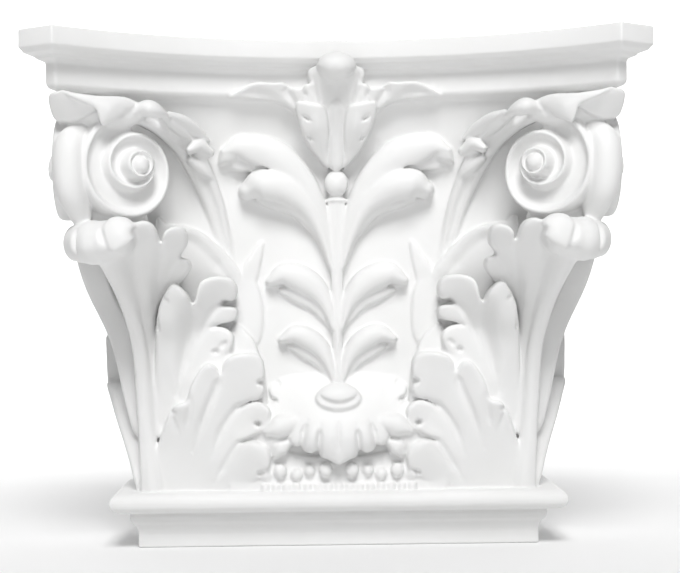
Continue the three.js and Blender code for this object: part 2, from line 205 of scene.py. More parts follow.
@dataclass
class Clay:
    """Right half of the casting, as signed distances on a grid; the left half mirrors it.

    Attributes:
        width: Half the width of the block.
        back: Projection of the wall plane, negative.
        reach: Projection of the farthest front corner.
        height: Height of the block.
        grain: Spacing of the grid.
    """

    width: float
    back: float
    reach: float
    height: float
    grain: float
    axes: tuple[np.ndarray, ...] = field(init=False)
    depth: np.ndarray = field(init=False)

    def __post_init__(self) -> None:
        """Lays the grid out, with its first column half a grain from the middle plane."""
        rim = 3 * self.grain
        spans = [(self.grain / 2, self.width + rim), (self.back - rim, self.reach + rim), (-rim, self.height + rim)]
        self.axes = tuple(np.arange(low, high, self.grain, dtype=np.float32) for low, high in spans)
        self.depth = np.full([len(axis) for axis in self.axes], FAR, np.float32)

    def _window(self, form: Form, margin: float) -> tuple[tuple[slice, ...], Window]:
        """Slices of the grid round a form, and the places in them."""
        low, high = form.bounds()
        cuts = []
        for axis, start, end in zip(self.axes, low, high):
            first = int(np.searchsorted(axis, start - margin))
            cuts.append(slice(first, max(int(np.searchsorted(axis, end + margin)), first)))
        x, p, z = (axis[cut] for axis, cut in zip(self.axes, cuts))
        return tuple(cuts), (x[:, None, None], p[None, :, None], z[None, None, :])

    def add(self, form: Form, blend: float = 0.8) -> None:
        """Presses a form on to the clay."""
        cuts, places = self._window(form, FAR)
        if min(cut.stop - cut.start for cut in cuts) < 1:
            return
        pressed = np.clip(form.distance(*places), -FAR, FAR).astype(np.float32)
        self.depth[cuts] = soft_min(self.depth[cuts], pressed, blend)

    def cut(self, form: Form, blend: float = 0.6) -> None:
        """Cuts a form out of the clay."""
        cuts, places = self._window(form, blend + self.grain)
        if min(cut.stop - cut.start for cut in cuts) < 1:
            return
        hollow = np.clip(form.distance(*places), -FAR, FAR).astype(np.float32)
        self.depth[cuts] = soft_max(self.depth[cuts], -hollow, blend)

    def soften(self, passes: int) -> None:
        """Rubs every arris and crease down, as paint and a mould do."""
        for _ in range(passes):
            for axis in range(3):
                ahead = np.take(self.depth, np.r_[1 : self.depth.shape[axis], -1], axis=axis)
                behind = np.take(self.depth, np.r_[0, 0 : self.depth.shape[axis] - 1], axis=axis)
                self.depth = 0.5 * self.depth + 0.25 * (ahead + behind)

    def skin(self) -> tuple[np.ndarray, np.ndarray]:
        """Closed skin of the whole casting.

        Returns:
            Points in millimetres as x, projection, z, and faces of four corners.
        """
        whole = np.concatenate([self.depth[::-1], self.depth])
        grid = openvdb.FloatGrid(FAR)
        grid.copyFromArray(np.ascontiguousarray(np.clip(whole, -FAR, FAR)), tolerance=0.0)
        points, quads = grid.convertToQuads(0.0)
        start = np.array([axis[0] for axis in self.axes])
        start[0] -= self.grain * len(self.axes[0])
        return start + points * self.grain, quads


# ---- raised forms: leaves and fingers --------------------------------------------------------------
class Facing(Enum):
    """The face of the capital that a raised form lies on."""

    FRONT = "front"
    SIDE = "side"


class Section(Enum):
    """How a finger is shaped across its width."""

    DOME = "dome"
    CUP = "cup"
    REEDED = "reeded"

    def height(self, place: np.ndarray) -> np.ndarray:
        """Share of the rise at a place across the finger, from -1 to 1."""
        inner = np.clip(place, -1, 1)
        if self is Section.DOME:
            return 1 - inner**2
        if self is Section.CUP:
            return 0.55 + 0.45 * np.cos(2 * np.pi * inner) * (1 - inner**2) + 0.4 * inner**2
        return 0.5 - 0.5 * np.cos(2 * np.pi * inner)


@dataclass(frozen=True)
class Crease:
    """A groove, or a rib where its depth is below 0, drawn on a leaf."""

    way: Points2
    width: float
    depth: float
    power: float = 2.0

    def carve(self, across: np.ndarray, height: np.ndarray) -> np.ndarray:
        """How much is taken off the surface at each place; it runs out at both ends."""
        distance, _, share = nearest_on_way(across, height, spline(self.way, 14))
        fade = np.clip(np.minimum(share, 1 - share) * 4, 0.35, 1)
        return self.depth * fade * np.exp(-((distance / (self.width * fade)) ** self.power))


@dataclass(frozen=True)
class Leaf:
    """A leaf cut to an outline from a bent sheet.

    Attributes:
        edge: Outline, as (across, height).
        surface: Places that the front of the sheet passes through.
        creases: Grooves and ribs on it.
        thickness: How far it reaches back.
        roundness: Width of its rounded edge.
        facing: The face that it lies on.
    """

    edge: Points2
    surface: Points3
    creases: tuple[Crease, ...] = ()
    thickness: float = 9.0
    roundness: float = 2.4
    facing: Facing = Facing.FRONT

    def relief(self, across: np.ndarray, height: np.ndarray) -> tuple[np.ndarray, np.ndarray]:
        """Distance to the outline, and the projection of the surface, over a face."""
        surface = bent_sheet(self.surface, across, height)
        for crease in self.creases:
            surface = surface - crease.carve(across, height)
        return outline_distance(across, height, spline(self.edge, 5 * len(self.edge), closed=True)), surface

    def reach(self) -> tuple[np.ndarray, np.ndarray]:
        """Lowest and highest (across, height, projection)."""
        edge = np.array(self.edge)
        depth = np.array(self.surface)[:, 2]
        return np.r_[edge.min(0) - 2, depth.min() - self.thickness - 3], np.r_[edge.max(0) + 2, depth.max() + 5]


@dataclass(frozen=True)
class Finger:
    """A finger swept along a curve.

    Attributes:
        way: Root to tip, as (across, height, projection).
        width: Half widths along it.
        rise: How far its middle stands above its way.
        section: Its shape across.
        thickness: How far it reaches back.
        roundness: Width of its rounded edge.
        facing: The face that it lies on.
    """

    way: Points3
    width: tuple[float, ...]
    rise: float = 2.5
    section: Section = Section.DOME
    thickness: float = 8.0
    roundness: float = 2.0
    creases: tuple[Crease, ...] = ()
    facing: Facing = Facing.FRONT

    def relief(self, across: np.ndarray, height: np.ndarray) -> tuple[np.ndarray, np.ndarray]:
        """Distance to the outline, and the projection of the surface, over a face."""
        count = 8 * len(self.way)
        line = spline(self.way, count)
        distance, hand, share = nearest_on_way(across, height, line[:, :2])
        steps = np.linspace(0, 1, count)
        width = np.interp(share, steps, spline(self.width, count)[:, 0])
        base = np.interp(share, steps, line[:, 2])
        surface = base + self.rise * self.section.height(hand * distance / np.maximum(width, 0.3))
        for crease in self.creases:
            surface = surface - crease.carve(across, height)
        return distance - width, surface

    def reach(self) -> tuple[np.ndarray, np.ndarray]:
        """Lowest and highest (across, height, projection)."""
        way = np.array(self.way)
        side = max(self.width) + 2
        low = way.min(0) - [side, side, self.thickness + 3]
        return low, way.max(0) + [side, side, abs(self.rise) + 3]


@dataclass(frozen=True)
class Corner:
    """How the ornament of the front is carried round on to the side."""

    start: float = 99.0
    flare: float = 36.0
    flare_length: float = 32.0
    turn_at: float = 98.0
    squeeze: float = 0.95

    def side_x(self, projection: np.ndarray) -> np.ndarray:
        """Place across of a side surface that stands out as far as this."""
        return self.start + self.flare * (1 - np.exp(-np.maximum(projection, -8) / self.flare_length))

    def across(self, p: np.ndarray) -> np.ndarray:
        """Place on the matching front leaf of a depth on the side."""
        return self.turn_at + p / self.squeeze

    def projection(self, across: float) -> float:
        """Depth on the side of a place across the matching front leaf."""
        return (across - self.turn_at) * self.squeeze


CORNER = Corner()


@dataclass(frozen=True)
class Raised:
    """A leaf or a finger as a solid on the clay."""

    shape: Leaf | Finger

    def bounds(self) -> tuple[tuple[float, float, float], tuple[float, float, float]]:
        """Lowest and highest corners."""
        low, high = self.shape.reach()
        if self.shape.facing is Facing.FRONT:
            return (low[0], low[2], low[1]), (high[0], high[2], high[1])
        sides = CORNER.side_x(np.array([low[2], high[2]]))
        return (sides[0] - 8, CORNER.projection(low[0]), low[1]), (sides[1] + 3, CORNER.projection(high[0]), high[1])

    def distance(self, x: np.ndarray, p: np.ndarray, z: np.ndarray) -> np.ndarray:
        """Signed distance at every place of a window of the clay."""
        front = self.shape.facing is Facing.FRONT
        if front:
            across, out, axis = x[:, 0, :], p, 1
        else:
            across, out, axis = CORNER.across(p)[0], x, 0
        edge, surface = self.shape.relief(across, z[0])
        if not front:
            surface = CORNER.side_x(surface)
        grain = float(z[0, 0, 1] - z[0, 0, 0])
        slopes = np.gradient(surface, grain)
        steep = 1 / np.sqrt(1 + np.minimum(slopes[0] ** 2 + slopes[1] ** 2, 6))
        edge, surface, steep = (np.expand_dims(part, axis).astype(np.float32) for part in (edge, surface, steep))
        top = (out - surface) * steep
        return np.maximum(soft_max(edge, top, self.shape.roundness), surface - self.shape.thickness - out)


# ---- plain solids ---------------------------------------------------------------------------------
@dataclass(frozen=True)
class Pebble:
    """An egg-shaped solid."""

    centre: tuple[float, float, float]
    size: tuple[float, float, float]

    def bounds(self) -> tuple[tuple[float, float, float], tuple[float, float, float]]:
        """Lowest and highest corners."""
        low, high = (tuple(c + way * s for c, s in zip(self.centre, self.size)) for way in (-1, 1))
        return low, high

    def distance(self, x: np.ndarray, p: np.ndarray, z: np.ndarray) -> np.ndarray:
        """Signed distance at every place of a window of the clay."""
        parts = [(axis - c) / s for axis, c, s in zip((x, p, z), self.centre, self.size)]
        far = np.sqrt(sum(part**2 for part in parts))
        return (far - 1) * min(self.size)


@dataclass(frozen=True)
class Roll:
    """A round roll along a curve in space, with its own radius at each point."""

    way: Points3
    radius: tuple[float, ...]

    def bounds(self) -> tuple[tuple[float, float, float], tuple[float, float, float]]:
        """Lowest and highest corners."""
        way, side = np.array(self.way), max(self.radius)
        return tuple(way.min(0) - side), tuple(way.max(0) + side)

    def distance(self, x: np.ndarray, p: np.ndarray, z: np.ndarray) -> np.ndarray:
        """Signed distance at every place of a window of the clay."""
        count = 5 * len(self.way)
        line = spline(self.way, count)
        radius = spline(self.radius, count)[:, 0]
        best = np.full(np.broadcast_shapes(x.shape, p.shape, z.shape), np.inf, np.float32)
        for a, b, ra, rb in zip(line[:-1], line[1:], radius[:-1], radius[1:]):
            step = b - a
            dx, dp, dz = x - a[0], p - a[1], z - a[2]
            t = np.clip((dx * step[0] + dp * step[1] + dz * step[2]) / max(float(step @ step), 1e-9), 0, 1)
            gap = np.sqrt((dx - t * step[0]) ** 2 + (dp - t * step[1]) ** 2 + (dz - t * step[2]) ** 2)
            best = np.minimum(best, gap - (ra + t * (rb - ra)))
        return best


@dataclass(frozen=True)
class Moulding:
    """A moulding that runs along a plan, from a profile of (inset, height)."""

    profile: Points2
    plan: "Plan"

    def bounds(self) -> tuple[tuple[float, float, float], tuple[float, float, float]]:
        """Lowest and highest corners."""
        heights = [height for _, height in self.profile]
        return (0, -60, min(heights)), (200, 90, max(heights))

    def distance(self, x: np.ndarray, p: np.ndarray, z: np.ndarray) -> np.ndarray:
        """Signed distance at every place of a window of the clay."""
        inset = -self.plan.outside(x[:, :, 0], p[:, :, 0])
        reach = np.arange(-20.0, 110.0, 0.2)
        table = outline_distance(reach[:, None], z[0], np.array(self.profile))
        levels = [np.interp(inset, reach, table[:, level]) for level in range(z.shape[2])]
        return np.stack(levels, axis=2)


class Plan(Protocol):
    """Outline of a moulding seen from above."""

    def outside(self, x: np.ndarray, p: np.ndarray) -> np.ndarray:
        """Distance outside the outline, with mitred corners."""


@dataclass(frozen=True)
class ShaftPlan:
    """The plan of the pilaster shaft: straight sides and a square corner."""

    half_width: float = 100.0

    def outside(self, x: np.ndarray, p: np.ndarray) -> np.ndarray:
        """Distance outside the outline, with mitred corners."""
        return np.maximum(x - self.half_width, p)


@dataclass(frozen=True)
class AbacusPlan:
    """The hollow-sided plan of the abacus, with its corners cut off."""

    corner: tuple[float, float] = (129.0, 75.0)
    horn: tuple[float, float] = (146.5, 63.0)
    wall: tuple[float, float] = (134.0, -60.0)
    front_hollow: float = 48.0
    side_hollow: float = 4.0

    @staticmethod
    def _hollow(x: np.ndarray, p: np.ndarray, start: Vector, end: Vector, hollow: float) -> np.ndarray:
        """Distance outside a hollow edge from start to end, which has the casting on its right."""
        chord = end - start
        out = Vector((-chord.y, chord.x)).normalized()
        half = chord.length / 2
        radius = (half * half + hollow * hollow) / (2 * hollow)
        centre = (start + end) / 2 + out * (radius - hollow)
        return radius - np.hypot(x - centre.x, p - centre.y)

    def outside(self, x: np.ndarray, p: np.ndarray) -> np.ndarray:
        """Distance outside the outline, with mitred corners."""
        corner, horn, wall = Vector(self.corner), Vector(self.horn), Vector(self.wall)
        front = self._hollow(x, p, Vector((-corner.x, corner.y)), corner, self.front_hollow)
        side = self._hollow(x, p, horn, wall, self.side_hollow)
        cut = horn - corner
        out = Vector((-cut.y, cut.x)).normalized()
        chamfer = (x - corner.x) * out.x + (p - corner.y) * out.y
        return np.maximum(np.maximum(front, side), chamfer)


@dataclass(frozen=True)
class Bell:
    """The bell: upright at its foot, flared to the corners of the abacus at its top."""

    foot: float = 27.0
    flare_from: float = 90.0
    lip: float = 221.0
    top: float = 234.0
    wall: float = -60.0

    def bounds(self) -> tuple[tuple[float, float, float], tuple[float, float, float]]:
        """Lowest and highest corners."""
        return (0, self.wall, self.foot), (120, 52, self.top)

    def distance(self, x: np.ndarray, p: np.ndarray, z: np.ndarray) -> np.ndarray:
        """Signed distance at every place of a window of the clay."""
        corner_x = 89 + 27 * ramp(z, self.flare_from, self.lip, 1.6)
        corner_out = 47 * ramp(z, self.flare_from, self.lip, 1.8)
        middle_out = 13 * ramp(z, 170, self.lip, 1.9)
        side_x = 100 + 16 * ramp(z, self.flare_from, self.lip, 1.4)
        share = np.clip(x / corner_x, 0, 1.1) ** 2.4
        front = (p - (middle_out + (corner_out - middle_out) * share)) * 0.88
        run = np.clip((p - (corner_out * 0.6 - 10)) / (corner_out * 0.4 + 10), 0, 1.2)
        side = (x - (side_x + (corner_x - side_x) * run)) * 0.95
        ends = np.maximum(self.foot - z, z - self.top)
        return np.maximum(soft_max(front, side, 5.0), ends)


@dataclass(frozen=True)
class Scroll:
    """A volute: a rolled band that winds in to its eye and rises as it goes.

    Attributes:
        centre: Middle of the scroll on its face plane.
        nose: Level direction to its nose, as (x, projection).
        hand: 1 where the face looks to the left of the nose, -1 where it looks to the right.
        radii: Outer radius at each quarter turn, from the top towards the nose.
        band: Width of the rolled rim at the start.
        rise: How far the eye stands above the rim.
        thickness: Depth of the scroll behind its face.
        eye: Radius of the eye.
    """

    centre: tuple[float, float, float]
    nose: tuple[float, float]
    hand: int = 1
    radii: tuple[float, ...] = (25.5, 27.4, 24.8, 17.6, 15.6, 15.6, 11.8, 8.8, 7.4, 7.6, 6.2)
    band: float = 3.5
    rise: float = 8.0
    thickness: float = 15.0
    eye: float = 4.2

    def bounds(self) -> tuple[tuple[float, float, float], tuple[float, float, float]]:
        """Lowest and highest corners."""
        side = max(self.radii) + 4
        low, high = (tuple(c + way * side for c in self.centre) for way in (-1, 1))
        return low, high

    def _coil(self, radius: np.ndarray, wind: np.ndarray) -> tuple[np.ndarray, np.ndarray]:
        """Outer radius of a coil, and the level of the face inside it."""
        turns = (len(self.radii) - 1) / 4
        quarters = np.linspace(0, turns, 97)
        rim = np.interp(wind, quarters, spline(self.radii, 97)[:, 0])
        band = self.band * (1 - 0.15 * wind)
        inwards = rim - radius
        roll = 1.8 * np.sqrt(np.clip(1 - ((inwards - band / 2) / (band / 2)) ** 2, 0, 1))
        floor = np.where(inwards < band + 1.6, -0.9, -1.8)
        lift = self.rise * ramp(wind, 0.7, turns, 1.2)
        return rim, lift + np.where(inwards < band, roll, floor)

    def distance(self, x: np.ndarray, p: np.ndarray, z: np.ndarray) -> np.ndarray:
        """Signed distance at every place of a window of the clay."""
        dx, dp, up = x - self.centre[0], p - self.centre[1], z - self.centre[2]
        along = dx * self.nose[0] + dp * self.nose[1]
        out = self.hand * (dp * self.nose[0] - dx * self.nose[1])
        radius = np.hypot(along, up)
        wind = np.mod(np.arctan2(along, up) / (2 * np.pi), 1.0)
        outer, face = self._coil(radius, wind)
        for turn in (1, 2):
            inner, raised = self._coil(radius, wind + turn)
            face = np.where(radius < inner, raised, face)
        dome = self.rise + 1.5 - 0.12 * radius**2
        face = np.where(radius < self.eye, dome, face)
        face = np.where((radius >= self.eye) & (radius < self.eye + 0.9), self.rise - 3.5, face)
        return np.maximum(soft_max(radius - outer, (out - face) * 0.8, 1.2), -self.thickness - out)


# ---- reeds and the row at the foot: made by node trees ----------------------------------------------
@dataclass(frozen=True)
class Pressed:
    """A closed mesh, in millimetres as x, projection, z, as a form for the clay."""

    points: np.ndarray
    faces: np.ndarray

    def bounds(self) -> tuple[tuple[float, float, float], tuple[float, float, float]]:
        """Lowest and highest corners."""
        return tuple(self.points.min(0)), tuple(self.points.max(0))

    def distance(self, x: np.ndarray, p: np.ndarray, z: np.ndarray) -> np.ndarray:
        """Signed distance at every place of a window of the clay."""
        grain = float(z[0, 0, 1] - z[0, 0, 0])
        start = np.array([x[0, 0, 0], p[0, 0, 0], z[0, 0, 0]])
        grid = openvdb.FloatGrid.createLevelSetFromPolygons(
            ((self.points - start) / grain).astype(np.float32),
            triangles=self.faces.astype(np.uint32),
            transform=openvdb.createLinearTransform(1.0),
            halfWidth=3.0,
        )
        values = np.full((x.shape[0], p.shape[1], z.shape[2]), 3.0, np.float32)
        grid.copyToArray(values, ijk=(0, 0, 0))
        return values * grain


class NodeTree:
    """A geometry node tree with named inputs, built step by step."""

    def __init__(self, name: str, inputs: dict[str, tuple[str, float | int]]) -> None:
        """Makes the tree.

        Args:
            name: Name of the tree.
            inputs: Socket type and default of each named input, after the geometry.
        """
        self.tree = bpy.data.node_groups.new(name, "GeometryNodeTree")
        face = self.tree.interface
        face.new_socket("Geometry", in_out="INPUT", socket_type="NodeSocketGeometry")
        for label, (kind, default) in inputs.items():
            face.new_socket(label, in_out="INPUT", socket_type=kind).default_value = default
        face.new_socket("Material", in_out="INPUT", socket_type="NodeSocketMaterial")
        face.new_socket("Geometry", in_out="OUTPUT", socket_type="NodeSocketGeometry")
        self.given = self.tree.nodes.new("NodeGroupInput").outputs

    def node(self, kind: str, settings: dict | None = None, **values: object) -> bpy.types.Node:
        """Adds a node.

        Args:
            kind: Node type.
            settings: Properties that are set first.
            **values: Values or links of its inputs, with _ for a space in a name.

        Returns:
            The node.
        """
        made = self.tree.nodes.new(kind)
        for name, value in (settings or {}).items():
            setattr(made, name, value)
        for name, value in values.items():
            socket = made.inputs[name.replace("_", " ")]
            if isinstance(value, bpy.types.NodeSocket):
                self.tree.links.new(value, socket)
            else:
                socket.default_value = value
        return made

    def maths(self, operation: str, *values: object) -> bpy.types.NodeSocket:
        """Adds a Math node and returns its result."""
        made = self.node("ShaderNodeMath", {"operation": operation})
        for socket, value in zip(made.inputs, values):
            if isinstance(value, bpy.types.NodeSocket):
                self.tree.links.new(value, socket)
            else:
                socket.default_value = value
        return made.outputs[0]

    def close(self, geometry: bpy.types.NodeSocket) -> bpy.types.NodeTree:
        """Realizes the instances, sets the material, and ends the tree."""
        real = self.node("GeometryNodeRealizeInstances", Geometry=geometry)
        dressed = self.node("GeometryNodeSetMaterial", Geometry=real.outputs[0], Material=self.given["Material"])
        end = self.tree.nodes.new("NodeGroupOutput")
        self.tree.links.new(dressed.outputs[0], end.inputs[0])
        return self.tree


def reed_tree() -> bpy.types.NodeTree:
    """Node tree that turns a line into a round reed that swells or tapers along it."""
    tree = NodeTree("reed", {
        "Root Radius": ("NodeSocketFloat", 1.0),
        "Tip Radius": ("NodeSocketFloat", 1.0),
        "Sides": ("NodeSocketInt", 10),
    })
    place = tree.node("GeometryNodeSplineParameter")
    swell = tree.maths("SUBTRACT", tree.given["Tip Radius"], tree.given["Root Radius"])
    radius = tree.maths("MULTIPLY_ADD", place.outputs["Factor"], swell, tree.given["Root Radius"])
    line = tree.node("GeometryNodeSetCurveRadius", Curve=tree.given["Geometry"], Radius=radius)
    ring = tree.node("GeometryNodeCurvePrimitiveCircle", Resolution=tree.given["Sides"], Radius=1.0)
    reed = tree.node(
        "GeometryNodeCurveToMesh",
        Curve=line.outputs[0],
        Profile_Curve=ring.outputs["Curve"],
        Fill_Caps=True,
    )
    return tree.close(reed.outputs[0])


def row_tree() -> bpy.types.NodeTree:
    """Node tree that sets short upright pegs in a level row."""
    tree = NodeTree("row of pegs", {
        "Count": ("NodeSocketInt", 8),
        "Pitch": ("NodeSocketFloat", 5.0),
        "Radius": ("NodeSocketFloat", 1.6),
        "Height": ("NodeSocketFloat", 8.0),
    })
    last = tree.maths("SUBTRACT", tree.given["Count"], 1.0)
    half = tree.maths("MULTIPLY", tree.maths("MULTIPLY", last, tree.given["Pitch"]), -0.5)
    start = tree.node("ShaderNodeCombineXYZ", X=half)
    step = tree.node("ShaderNodeCombineXYZ", X=tree.given["Pitch"])
    row = tree.node(
        "GeometryNodeMeshLine",
        {"mode": "OFFSET"},
        Count=tree.given["Count"],
        Start_Location=start.outputs[0],
        Offset=step.outputs[0],
    )
    peg = tree.node(
        "GeometryNodeMeshCylinder",
        Vertices=12,
        Radius=tree.given["Radius"],
        Depth=tree.given["Height"],
    )
    pegs = tree.node("GeometryNodeInstanceOnPoints", Points=row.outputs[0], Instance=peg.outputs["Mesh"])
    return tree.close(pegs.outputs[0])


def grown(tree: bpy.types.NodeTree, carrier: bpy.types.ID, values: dict[str, object]) -> Pressed:
    """Runs a node tree on a carrier and takes the mesh that it makes.

    Args:
        tree: The node tree.
        carrier: Mesh or curve that the tree starts from.
        values: Value of each named input.

    Returns:
        The mesh as a form for the clay; the carrier is removed.
    """
    holder = bpy.data.objects.new("carrier", carrier)
    bpy.context.scene.collection.objects.link(holder)
    modifier = holder.modifiers.new("grow", "NODES")
    modifier.node_group = tree
    for item in tree.interface.items_tree:
        if item.in_out == "INPUT" and item.name in values:
            modifier[item.identifier] = values[item.name]
    depsgraph = bpy.context.evaluated_depsgraph_get()
    mesh = bpy.data.meshes.new_from_object(holder.evaluated_get(depsgraph), depsgraph=depsgraph)
    mesh.calc_loop_triangles()
    points = np.empty(len(mesh.vertices) * 3, np.float32)
    mesh.vertices.foreach_get("co", points)
    faces = np.empty(len(mesh.loop_triangles) * 3, np.int32)
    mesh.loop_triangles.foreach_get("vertices", faces)
    bpy.data.objects.remove(holder)
    bpy.data.meshes.remove(mesh)
    return Pressed(points.reshape(-1, 3), faces.reshape(-1, 3))


class Reeds:
    """Grows reeds along lines in space."""

    def __init__(self, material: bpy.types.Material) -> None:
        """Builds the node tree once for every reed."""
        self.tree = reed_tree()
        self.material = material

    def grow(self, way: Points3, root: float, tip: float) -> Pressed:
        """One reed.

        Args:
            way: Points in millimetres as x, projection, z.
            root: Radius at the root.
            tip: Radius at the tip.

        Returns:
            The reed as a form for the clay.
        """
        curve = bpy.data.curves.new("line", "CURVE")
        curve.dimensions = "3D"
        line = spline(way, 8 * len(way))
        run = curve.splines.new("POLY")
        run.points.add(len(line) - 1)
        for point, place in zip(run.points, line):
            point.co = (*place, 1)
        return grown(self.tree, curve, {
            "Root Radius": root,
            "Tip Radius": tip,
            "Sides": 12,
            "Material": self.material,
        })


# ---- the sub-assemblies --------------------------------------------------------------------------
@dataclass(frozen=True)
class Mouldings:
    """Abacus above and base mouldings below, with the block between."""

    height: float = 248.0
    torus_centre: tuple[float, float] = (-8.4, 23.2)
    torus_radius: float = 4.8
    core: float = 120.0  # how far the mouldings run in towards the middle

    def abacus(self) -> Moulding:
        """The abacus: fascia, fillet, ovolo and upright lower member."""
        drops = (
            (0.0, 0.0), (0.0, 8.8), (1.2, 9.6), (1.6, 10.9), (6.3, 12.0), (6.3, 13.3), (9.4, 14.0),
            (10.4, 15.4), (10.4, 25.0), (11.6, 26.8), (16.0, 28.2), (self.core, 28.2), (self.core, 0.0),
        )
        return Moulding(tuple((inset, self.height - drop) for inset, drop in drops), AbacusPlan())

    def base(self) -> Moulding:
        """The base: fascia, cavetto, bead and torus."""
        across, middle = self.torus_centre
        angles = [math.radians(-90 + 15 * step) for step in range(13)]
        torus = tuple(
            (across - self.torus_radius * math.cos(angle), middle + self.torus_radius * math.sin(angle))
            for angle in angles
        )
        below = ((self.core, 0.0), (0.0, 0.0), (0.0, 7.6), (-0.4, 9.0), (-1.2, 11.2), (-3.2, 13.2),
                 (-3.4, 14.2), (-4.0, 15.8), (-3.2, 17.6))
        return Moulding((*below, *torus, (self.core, middle + self.torus_radius)), ShaftPlan())

    def press(self, clay: Clay) -> None:
        """Adds the mouldings to the clay."""
        clay.add(self.abacus(), 0.7)
        clay.add(self.base(), 0.7)


@dataclass(frozen=True)
class CornerScrolls:
    """The two scrolls that share the nose of a corner, their stalks and the leaves over them."""

    centre_z: float = 186.5
    front_centre: tuple[float, float] = (95.2, 46.0)
    front_turn: float = 32.0
    side_centre: tuple[float, float] = (131.0, 30.0)
    nose: Points3 = ((120.5, 49, 164), (123.6, 56, 174), (124.6, 57.5, 186), (124, 56, 195), (121.5, 51, 200.5))
    nose_radius: tuple[float, ...] = (5.5, 6.8, 7.2, 7.0, 6.0)
    stalk: Points3 = ((52, 138, 1), (56, 152, 4), (62, 174, 11), (72.5, 197, 25), (82.5, 206.5, 38), (93, 210, 46))
    stalk_width: tuple[float, ...] = (2.5, 4, 5.2, 6.2, 6, 4)
    side_stalk: Points3 = ((84, 150, 14), (90, 178, 26), (94, 198, 38), (84, 209, 48))

    def press(self, clay: Clay) -> None:
        """Adds scrolls, stalks and leaves to the clay."""
        turn = math.radians(self.front_turn)
        clay.add(Roll(self.nose, self.nose_radius), 1.5)
        clay.add(Scroll((self.front_centre[0], self.front_centre[1], self.centre_z), (math.cos(turn), math.sin(turn))), 0.8)
        clay.add(Scroll((self.side_centre[0], self.side_centre[1], self.centre_z), (0.0, 1.0), hand=-1, rise=6.0), 0.8)
        reeded = {"section": Section.REEDED, "rise": 1.3, "thickness": 12.0, "roundness": 1.2}
        clay.add(Raised(Finger(self.stalk, self.stalk_width, **reeded)), 0.8)
        clay.add(Raised(Finger(self.side_stalk, (4, 5, 5.5, 4), facing=Facing.SIDE, **reeded)), 0.8)
        clay.add(Pebble((110, 47, 211), (20, 10, 8)), 1.0)
        clay.add(Pebble((107, 37, 161), (17, 10, 8)), 1.0)
        for leaf in self.leaves():
            clay.add(Raised(leaf), 0.5)

    @staticmethod
    def leaves() -> tuple[Leaf | Finger, ...]:
        """The small leaves between the scrolls and the abacus."""
        lip = Leaf(
            edge=((127, 220), (120, 218), (110, 217), (100, 217.4), (95, 216.2), (91.5, 214), (95.5, 212), (98.5, 209.6), (101.6, 206.6),
                  (105.6, 205), (108.4, 203.6), (110, 207.5), (111, 211), (113.5, 212.6), (119, 214.6), (123.5, 217)),
            surface=((127, 220, 69), (120, 216, 69), (112, 214, 67), (104, 216, 63), (95, 215, 57), (92, 214, 54), (99, 210, 58),
                     (106, 206, 63), (109, 209, 65), (104, 211, 64.5)),
            thickness=5, roundness=1.6,
        )
        body = Leaf(
            edge=((123, 218), (129, 219), (132.5, 217), (132.5, 211), (130.5, 206.8), (124, 206), (118.5, 207.4), (113.5, 210), (109, 213),
                  (112, 217)),
            surface=((110, 213, 62), (116, 210, 61), (124, 207, 59), (131, 208, 58), (132, 216, 65), (123, 214, 65), (117, 214, 64)),
            thickness=12, roundness=1.2,
        )
        return (
            body, lip,
            Finger(((94, 211.2, 52), (88.5, 212.4, 56), (83.5, 211, 54), (78.8, 208.8, 47)), (2.8, 4.0, 3.2, 0.8), rise=3, thickness=6),
            Finger(((82, 209.4, 46), (75.5, 205, 37), (69.5, 200.2, 27)), (1.8, 2.8, 1.2), rise=2, thickness=7),
            Finger(((79.5, 211, 45), (73.5, 208.6, 38), (67.5, 204.6, 28), (62.5, 200.6, 19)), (1.4, 2.8, 3, 1.2), rise=2, thickness=7),
            Finger(((71, 195.2, 29), (66.5, 197.6, 26), (61.6, 195, 20)), (2.2, 3.4, 2.4), rise=3, thickness=5),
            Finger(((70.5, 190.8, 25), (65.5, 186.5, 20), (61, 182.5, 15)), (2.4, 3.2, 1.2), rise=2.2, thickness=6),
            Finger(((88, 212, 46), (60, 210, 40), (48, 204, 30)), (4, 6, 2), facing=Facing.SIDE),
        )


